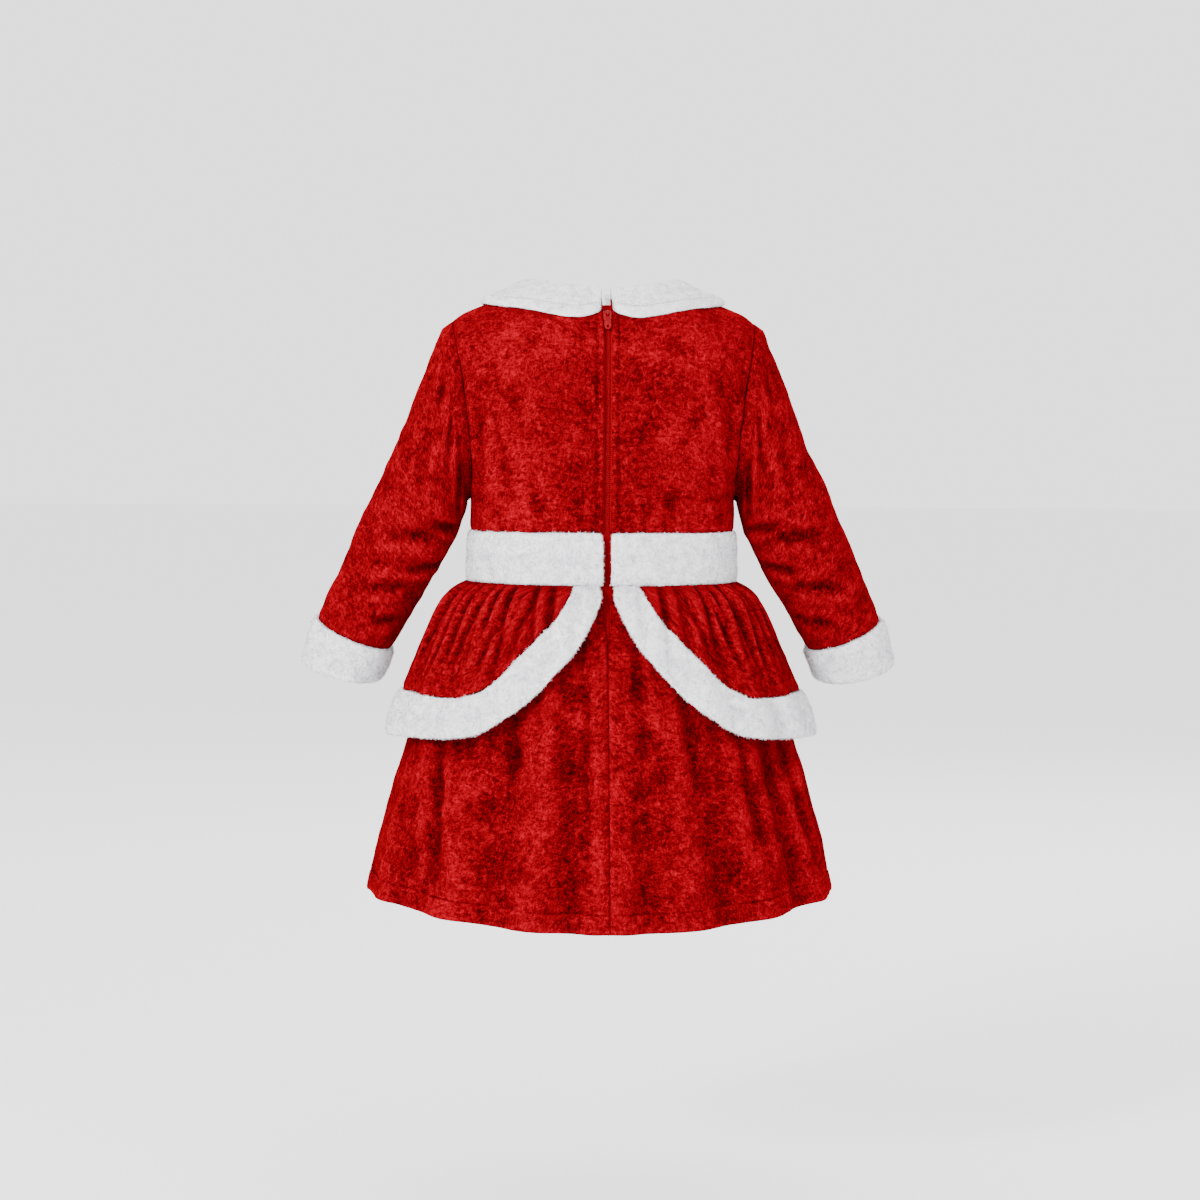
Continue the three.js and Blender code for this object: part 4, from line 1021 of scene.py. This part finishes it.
def on_hanging(at, gathers, waves, turn, drop, out):
    """Points of a gathered cloth that hangs from the waistband."""
    aside = np.clip(np.minimum(turn, 360 - turn) / CALM, 0, 1)
    calm = aside * aside * (3 - 2 * aside)
    wander = sum(swing * np.sin(np.radians(count * turn)) for swing, count in GATHER_WANDER)
    phase = np.radians(gathers * turn + wander)
    gather = 1 - 2 * (0.5 - 0.5 * np.cos(phase)) ** GATHER_NARROW
    reach = GATHER_FADE * stray(turn, (0.34, 23, 10), (0.2, 37, 70))
    fading = GATHER_DEEPER * near(drop, reach) * stray(turn, (0.42, 19, 25), (0.30, 31, 80))
    near_seam = 0.6 * near(drop, 14.0) * np.clip(drop / 3.0, 0, 1)
    wave = np.cos(np.radians(waves * turn + 60 * np.sin(np.radians(3 * turn))))
    side = 1 - 0.85 * near(np.abs(turn - 180) - 90, 24.0)
    ripple = fading * (at["gather"](drop) + near_seam) * gather + side * at["wave"](drop) * wave
    ripple = calm * stray(turn, (0.25, 5, 40), (0.2, 11, 10)) * ripple
    width, back, front, square = (at[name](drop) for name in ("width", "back", "front", "square"))
    return section(width, back, front, square, turn, band_foot(turn) - SEAM - drop, ripple + out)


def on_peplum(turn, drop, out=0.0):
    return on_hanging(peplum_at, PEPLUM_GATHERS, PEPLUM_WAVES, turn, drop,
                      out + troughs(turn, drop, PEPLUM_CREASES, (TURN_MM, 1)))


def hem_drop(turn):
    along = np.cos(np.radians(turn))
    return mix(HEM_DROP["side"], np.where(along > 0, HEM_DROP["back"], HEM_DROP["front"]), along ** 2)


def skirt_parts():
    """Parts of the way to the hem, with close rows where the hem is stitched."""
    stitched = 1 - HEM_TURN / HEM_DROP["back"]
    beside = stitched + np.array([-2.2, -1.2, -0.5, 0.0, 0.5, 1.2, 2.2]) / HEM_DROP["back"]
    above, below = spaced(0, beside[0] - 0.008, 86, 0.05), np.linspace(beside[-1] + 0.008, 1, 6)
    return np.concatenate([above, beside, below])


def skirt_grid(turns):
    parts = skirt_parts()[:, None]
    turn = turns[None, :]
    drop = parts * hem_drop(turn)
    past_line = drop - (hem_drop(turn) - HEM_TURN)
    hem = -HEM["groove"] * near(past_line, HEM["groove_width"]) + HEM["step"] / (1 + np.exp(-past_line * 2))
    rolled = -HEM["roll"] * near(hem_drop(turn) - drop, HEM["roll_width"])
    push = troughs(turn, drop, SKIRT_CREASES, (TURN_MM, 1)) + hem + rolled
    pull = HEM["pull"] * np.sin(np.radians(turn * HEM["pulls"])) * near(past_line, HEM["pull_reach"])
    return on_hanging(skirt_at, SKIRT_GATHERS, SKIRT_WAVES, turn, drop, push + pull)


def make_skirt():
    back_turns, front_turns = spaced(0, 90, 150, 0.03), spaced(90, 270, 300, 0.03)
    back = kept_to("back", skirt_grid(back_turns))
    drops = skirt_parts() * HEM_DROP["back"]
    gap = zip_gap_at(drops)
    back[:, 0, 0] = np.maximum(gap - LIP["in"], LIP["least"])
    columns = np.arange(1, LIP["columns"])
    back[:, columns, 0] = np.maximum(back[:, columns, 0], gap[:, None] + LIP["step"] * columns)
    right = kept_to("back", skirt_grid(360 - back_turns))
    right[:, :LIP["columns"], 0] = -back[:, :LIP["columns"], 0]
    lapped = np.clip((drops - SEAM_CLOSED) / SEAM_LAP["over"], 0, 1)
    edges_at = {"skirt_back_left": back[:, 0, 0],
                "skirt_back_right": SEAM_LAP["across"] * lapped - back[:, 0, 0]}
    right[:, 0, 1] -= SEAM_LAP["under"] * lapped
    panels = [
        ("skirt_front", kept_to("front", skirt_grid(front_turns)), FORWARD, (0.57, 0.28), 0.150),
        ("skirt_back_left", back, BACKWARD, (0.29, 0.28), 0.076),
        ("skirt_back_right", right, BACKWARD, (0.29, 0.28), 0.076),
    ]
    for seed, (node, grid, facing, flat, area) in enumerate(panels):
        push = rumple(grid, "skirt", seed) * side_hold(grid)
        push *= np.clip(skirt_parts() * 6, 0, 1)[:, None] * np.clip(np.abs(grid[..., 0]) / 10, 0, 1)
        push = push + seam_dip(grid, ["left", "right"]) * side_hold(grid)
        grid = grid + facing_out(grid, False, facing) * push[..., None]
        if node in edges_at:
            grid[:, 0, 0] = edges_at[node]
        piece = velvet_piece(node, grid, facing=facing, tucks=["left", "right", "last"])


PEPLUM_ROWS = spaced(0, 1, 40, 0.06)


def trim_columns(turns):
    return [trim_at[name](turns) for name in ("seamDrop", "edgeTurn", "edgeDrop")]


def back_turns_of_trim():
    return np.concatenate([TRIM_END_TURNS, np.linspace(15, 90, 150)])


def wearing_side(turn, side):
    """Turns of the wearer's right are counted on past the front."""
    return 360 - turn if side == "right" else turn


def peplum_back(side):
    turns = back_turns_of_trim()
    seam_drop = trim_columns(turns)[0]
    keep = seam_drop > 6.0
    turns, seam_drop = turns[keep], seam_drop[keep]
    order = np.arange(len(turns))
    lead = (turns[0] - TRIM_END_TURNS[0]) * np.maximum(0, 1 - order / 12.0)
    aside = 0.25 * np.maximum(0, 1 - order / len(turns))
    part = PEPLUM_ROWS[:, None]
    turn = (turns + aside)[None, :] - lead[None, :] * (1 - part)
    drop = part * (seam_drop - PEPLUM_SHORT)[None, :]
    return kept_to("back", on_peplum(wearing_side(turn, side), drop))


def trim_grid(profile, turns, seam_drop, edge_turn, edge_drop, side):
    rows = []
    for across, out in smoothed(profile, 4):
        across = min(1.0, max(0.0, across))
        turn = wearing_side(mix(edge_turn, turns, across), side)
        rows.append(on_peplum(turn, mix(edge_drop, seam_drop, across), out))
    return np.array(rows)


def make_peplum():
    front_turns = spaced(90, 270, 300, 0.03)
    edges = np.ones_like(front_turns)
    front_drop = PEPLUM_ROWS[:, None] * (FRONT_SEAM - PEPLUM_SHORT) * edges
    panels = [
        ("peplum_front", kept_to("front", on_peplum(front_turns[None, :], front_drop)),
         FORWARD, (0.53, 0.095), None),
        ("peplum_back_left", peplum_back("left"), BACKWARD, (0.25, 0.095), 0.017),
        ("peplum_back_right", peplum_back("right"), BACKWARD, (0.25, 0.095), 0.017),
    ]
    for seed, (node, grid, facing, flat, area) in enumerate(panels):
        still = side_hold(grid) * PEPLUM_ROWS[:, None]
        push = rumple(grid, "peplum", seed) * still + seam_dip(grid, ["last"])
        grid = grid + facing_out(grid, False, facing) * push[..., None]
        piece = velvet_piece(node, grid, facing=facing, tucks=["last"])
    turns = back_turns_of_trim()
    back = (turns, *trim_columns(turns))
    front = (front_turns, FRONT_SEAM * edges, front_turns, FRONT_EDGE * edges)
    trims = [
        ("peplum_trim_front", "front", front, "left", (0.47, 0.042)),
        ("peplum_trim_back_left", "back", back, "left", (0.27, 0.04)),
        ("peplum_trim_back_right", "back", back, "right", (0.27, 0.04)),
    ]
    for seed, (node, part, columns, side, flat) in enumerate(trims):
        outer = kept_to(part, trim_grid(TRIM_OUTER, *columns, side))
        inner = kept_to(part, trim_grid(TRIM_INNER, *columns, side))
        piece = fleece_piece(node, outer, inner, seed + 9, seed=seed + 9.0)


# Collar

def collar_grid(profile, turns, roll=False):
    sine, cosine = np.sin(np.radians(turns)), np.cos(np.radians(turns))
    neck = np.where(cosine > 0, NECK["back"], NECK["front"])
    edge = np.where(cosine > 0, COLLAR["back"], COLLAR["front"])
    from_end = np.minimum(1, np.minimum(turns, 180 - turns) / COLLAR_CORNER)
    wide = mix(COLLAR_END_WIDTH, 1, np.sqrt(1 - (1 - from_end) ** 2))
    width = np.hypot((COLLAR["side"] - NECK["side"]) * sine, (edge - neck) * cosine) * wide
    rows = []
    for across, lift in smoothed(profile, 6):
        x = mix(NECK["side"] * sine, COLLAR["side"] * sine, across * wide)
        y = mix(neck * cosine, edge * cosine, across * wide)
        from_line = (1 - across) * width - COLLAR_ROLL
        groove = COLLAR_LINE["deep"] * near(from_line, COLLAR_LINE["wide"]) if roll else 0.0
        rows.append(np.stack([x, y, body_height(x, y) + lift - groove], axis=-1))
    return np.array(rows)


def collar_line(turns):
    """Points and outward ways of the line stitched beside the collar's rolled edge."""
    inner, outer = (collar_grid([(across, 0.0)] * 2, turns)[0] for across in (0.0, 1.0))
    width = np.linalg.norm((outer - inner)[:, :2], axis=1)
    wide = width > 3 * COLLAR_ROLL
    place = mix(outer, inner, (COLLAR_ROLL / np.maximum(width, 1))[:, None])[wide]
    x, y = place[:, 0], place[:, 1]
    height = body_height(x, y)
    place[:, 2] = height + COLLAR_LINE["height"]
    out = np.stack([height - body_height(x + 1, y), height - body_height(x, y + 1), np.ones(len(x))], axis=1)
    return place, out / np.linalg.norm(out, axis=1, keepdims=True)


def make_collar():
    turns = spaced(COLLAR_END, 180 - COLLAR_END, 150, 0.05)
    outer, inner = collar_grid(COLLAR_UPPER, turns, roll=True), collar_grid(COLLAR_UNDER, turns)
    place, out = collar_line(turns)
    for side in SIDES:
        if side == "right":
            outer, inner, place, out = (mirrored(grid) for grid in (outer, inner, place, out))
        piece = fleece_piece(f"collar_{side}", outer, inner, len(side) + 20, cut=COLLAR_PILE,
                             fine=0.25, seed=len(side) + 2.0)
        # the grey thread paints the shade of the collar's groove along the stitched line
        stitched_line(f"collar_stitches_{side}", place, out, COLLAR_STITCH, grey_shaded_thread)


# Zip

def centre_back(z):
    """How far back the velvet stands along the centre of the back."""
    foot = float(band_foot(0.0))
    bodice = body_depth("back", np.zeros_like(z), z)
    band = mix(BODICE[0]["back"], SKIRT[0]["back"], (WAIST - z) / (WAIST - foot))
    return np.where(z > WAIST, bodice, np.where(z > foot, band, skirt_at["back"](foot - SEAM - z)))


def zip_frames(heights, side, across, depth):
    """Places and axes down the zip: across the cloth, out of it, and up along it."""
    heights = np.asarray(heights, float)
    slope = (centre_back(heights + 1) - centre_back(heights - 1)) / 2
    frames = []
    for z, y, lean in zip(heights, centre_back(heights), slope):
        up = np.array([0.0, lean, 1.0]) / math.hypot(1, lean)
        out = np.array([0.0, 1.0, -lean]) / math.hypot(1, lean)
        place = np.array([side * across, y, z]) - depth * out
        frames.append((place, np.array([[side, 0.0, 0.0], out, up])))
    return frames


def tooth():
    """One turn of the coil: a short rounded bar with a head at the centre of the zip."""
    bpy.ops.object.select_all(action="DESELECT")
    bpy.ops.mesh.primitive_cylinder_add(vertices=8, radius=TOOTH_RADIUS * MM, depth=TOOTH_REACH * MM,
                                        rotation=(0, math.pi / 2, 0))
    bar = bpy.context.object
    bpy.ops.object.transform_apply(location=True, rotation=True, scale=True)
    bpy.ops.object.mode_set(mode="EDIT")
    bpy.ops.mesh.select_all(action="SELECT")
    bpy.ops.mesh.bevel(offset=0.16 * MM, segments=1)
    bpy.ops.object.mode_set(mode="OBJECT")
    return bar


def stitch(length, radius):
    """One stitch: a short thread with rounded, sunken ends."""
    bpy.ops.object.select_all(action="DESELECT")
    bpy.ops.mesh.primitive_uv_sphere_add(segments=6, ring_count=5, radius=1.0)
    bead = bpy.context.object
    bead.scale = (radius * MM, radius * MM * 0.8, length / 2 * MM)
    bpy.ops.object.transform_apply(location=True, rotation=True, scale=True)
    return bead


def make_zip():
    heights = np.linspace(ZIP_TOP, ZIP_FOOT, 200)
    for side, sign in SIDES.items():
        grid = np.array([[place for place, _ in zip_frames(heights, sign, across, TAPE_DEPTH)]
                         for across in np.linspace(TAPE_MEET, TAPE_HALF, 9)])
        tape = shell(f"zip_tape_{side}_woven", grid, facing=BACKWARD, wall=TAPE_WALL)
        piece = finished(tape, tape_cloth, node=f"zip_tape_{side}")
        stagger = 0 if side == "left" else TOOTH_PITCH / 2
        foot = float(band_foot(0.0)) - COIL_FOOT
        teeth_at = np.arange(ZIP_TOP - COIL_TOP - stagger, foot, -TOOTH_PITCH)
        frames = zip_frames(teeth_at, sign, TOOTH_REACH / 2 - TOOTH_PAST, TAPE_DEPTH - TOOTH_RISE)
        coil = finished(repeated(f"zip_coil_{side}", tooth(), frames), nylon)


def softened(node, body, width):
    """A metal part with its edges rounded, in the shape and place of its node."""
    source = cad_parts[node]
    obj = bpy.data.objects.new(f"{node}_enamelled", source.data.copy())
    bpy.context.collection.objects.link(obj)
    only(obj)
    bpy.ops.object.mode_set(mode="EDIT")
    bpy.ops.mesh.select_all(action="SELECT")
    bpy.ops.mesh.remove_doubles(threshold=0.01 * MM)
    bpy.ops.mesh.dissolve_limited(angle_limit=math.radians(3))
    bpy.ops.object.mode_set(mode="OBJECT")
    applied(obj, "BEVEL", width=width * MM, segments=2, limit_method="ANGLE", angle_limit=math.radians(35))
    smooth(obj)
    only(obj)
    bpy.ops.object.shade_smooth_by_angle(angle=math.radians(40))
    return finished(obj, enamel, body=body, node=node)


def stitched_line(name, points, out, kind, material):
    """Stitches along a line of points, each laid on the cloth with out as its outward way."""
    steps = np.linalg.norm(np.diff(points, axis=0), axis=1)
    run = np.concatenate([[0], np.cumsum(steps)])
    length = kind["length"]
    centres = np.arange(length, run[-1] - length, length + kind["gap"])

    def at_run(where, line):
        return np.stack([np.interp(where, run, line[:, k]) for k in range(3)], axis=1)

    frames = []
    for at, to, away in zip(at_run(centres, points), at_run(centres + 0.6, points), at_run(centres, out)):
        along = (to - at) / max(np.linalg.norm(to - at), 1e-9)
        away = away - along * (away @ along)
        away = away / np.linalg.norm(away)
        frames.append((at, np.array([np.cross(away, along), away, along])))
    return finished(repeated(name, stitch(length, kind["radius"]), frames), material)


def make_hem_stitches():
    row = int(np.argmin(np.abs(skirt_parts() - (1 - HEM_TURN / HEM_DROP["back"]))))
    turns = np.linspace(1.0, 359.0, 900)
    grid = skirt_grid(turns)
    normal = facing_out(grid, False)
    line = grid[row] - normal[row] * HEM_STITCH["sunk"]
    stitched_line("hem_stitches", line, normal[row], HEM_STITCH, red_thread)


def make_zip_stitches():
    heights = np.linspace(ZIP_STITCH_TOP, WAIST + 1, 160)
    for side, sign in SIDES.items():
        frames = zip_frames(heights, sign, ZIP_LIP + LIP_WIDTH, ZIP_STITCH["sunk"])
        line = np.array([place for place, _ in frames])
        out = np.array([axes[1] for _, axes in frames])
        stitched_line(f"zip_stitches_{side}", line, out, ZIP_STITCH, red_thread)


# Stage

def make_camera():
    data = bpy.data.cameras.new("camera")
    data.lens, data.sensor_width = LENS, SENSOR
    data.shift_x = SHIFT_PIXELS / PICTURE
    camera = bpy.data.objects.new("camera", data)
    bpy.context.collection.objects.link(camera)
    azimuth, elevation = math.radians(AZIMUTH), math.radians(ELEVATION)
    back = Vector((math.sin(azimuth) * math.cos(elevation), -math.cos(azimuth) * math.cos(elevation),
                   math.sin(elevation)))
    camera.location = TARGET + back * DISTANCE
    camera.rotation_euler = (-back).to_track_quat("-Z", "Y").to_euler()
    camera.rotation_euler.rotate_axis("Z", math.radians(ROLL))
    bpy.context.scene.camera = camera


def make_floor():
    bpy.ops.object.select_all(action="DESELECT")
    bpy.ops.mesh.primitive_circle_add(vertices=96, radius=30, fill_type="NGON", location=(0, 0, FLOOR))
    floor = bpy.context.object
    floor.name = "floor"
    bpy.ops.object.transform_apply(location=True, rotation=True, scale=True)
    finish = Finish("pale_floor", Base_Color=(0.92, 0.92, 0.92, 1), Roughness=0.9)
    floor.data.materials.append(finish.material)


def add_light(name, place, size, power):
    data = bpy.data.lights.new(name, "AREA")
    data.shape, data.size, data.energy = "DISK", size, power
    light = bpy.data.objects.new(name, data)
    light.location = place
    bpy.context.collection.objects.link(light)
    light.rotation_euler = (TARGET - light.location).to_track_quat("-Z", "Y").to_euler()


def make_light():
    world = bpy.data.worlds.new("studio")
    world.use_nodes = True
    background = world.node_tree.nodes["Background"]
    background.inputs["Color"].default_value = (1, 1, 1, 1)
    background.inputs["Strength"].default_value = SKY
    bpy.context.scene.world = world
    for light in LIGHTS:
        add_light(**light)


make_camera()
make_light()
make_floor()
make_skirt()
make_peplum()
make_waistband()
make_bodice()
make_sleeves()
make_cuffs()
make_collar()
make_zip()
softened("zip_slider", ROOT, 0.35)
softened("zip_pull", "zip_pull", 0.25)
make_hem_stitches()
make_zip_stitches()
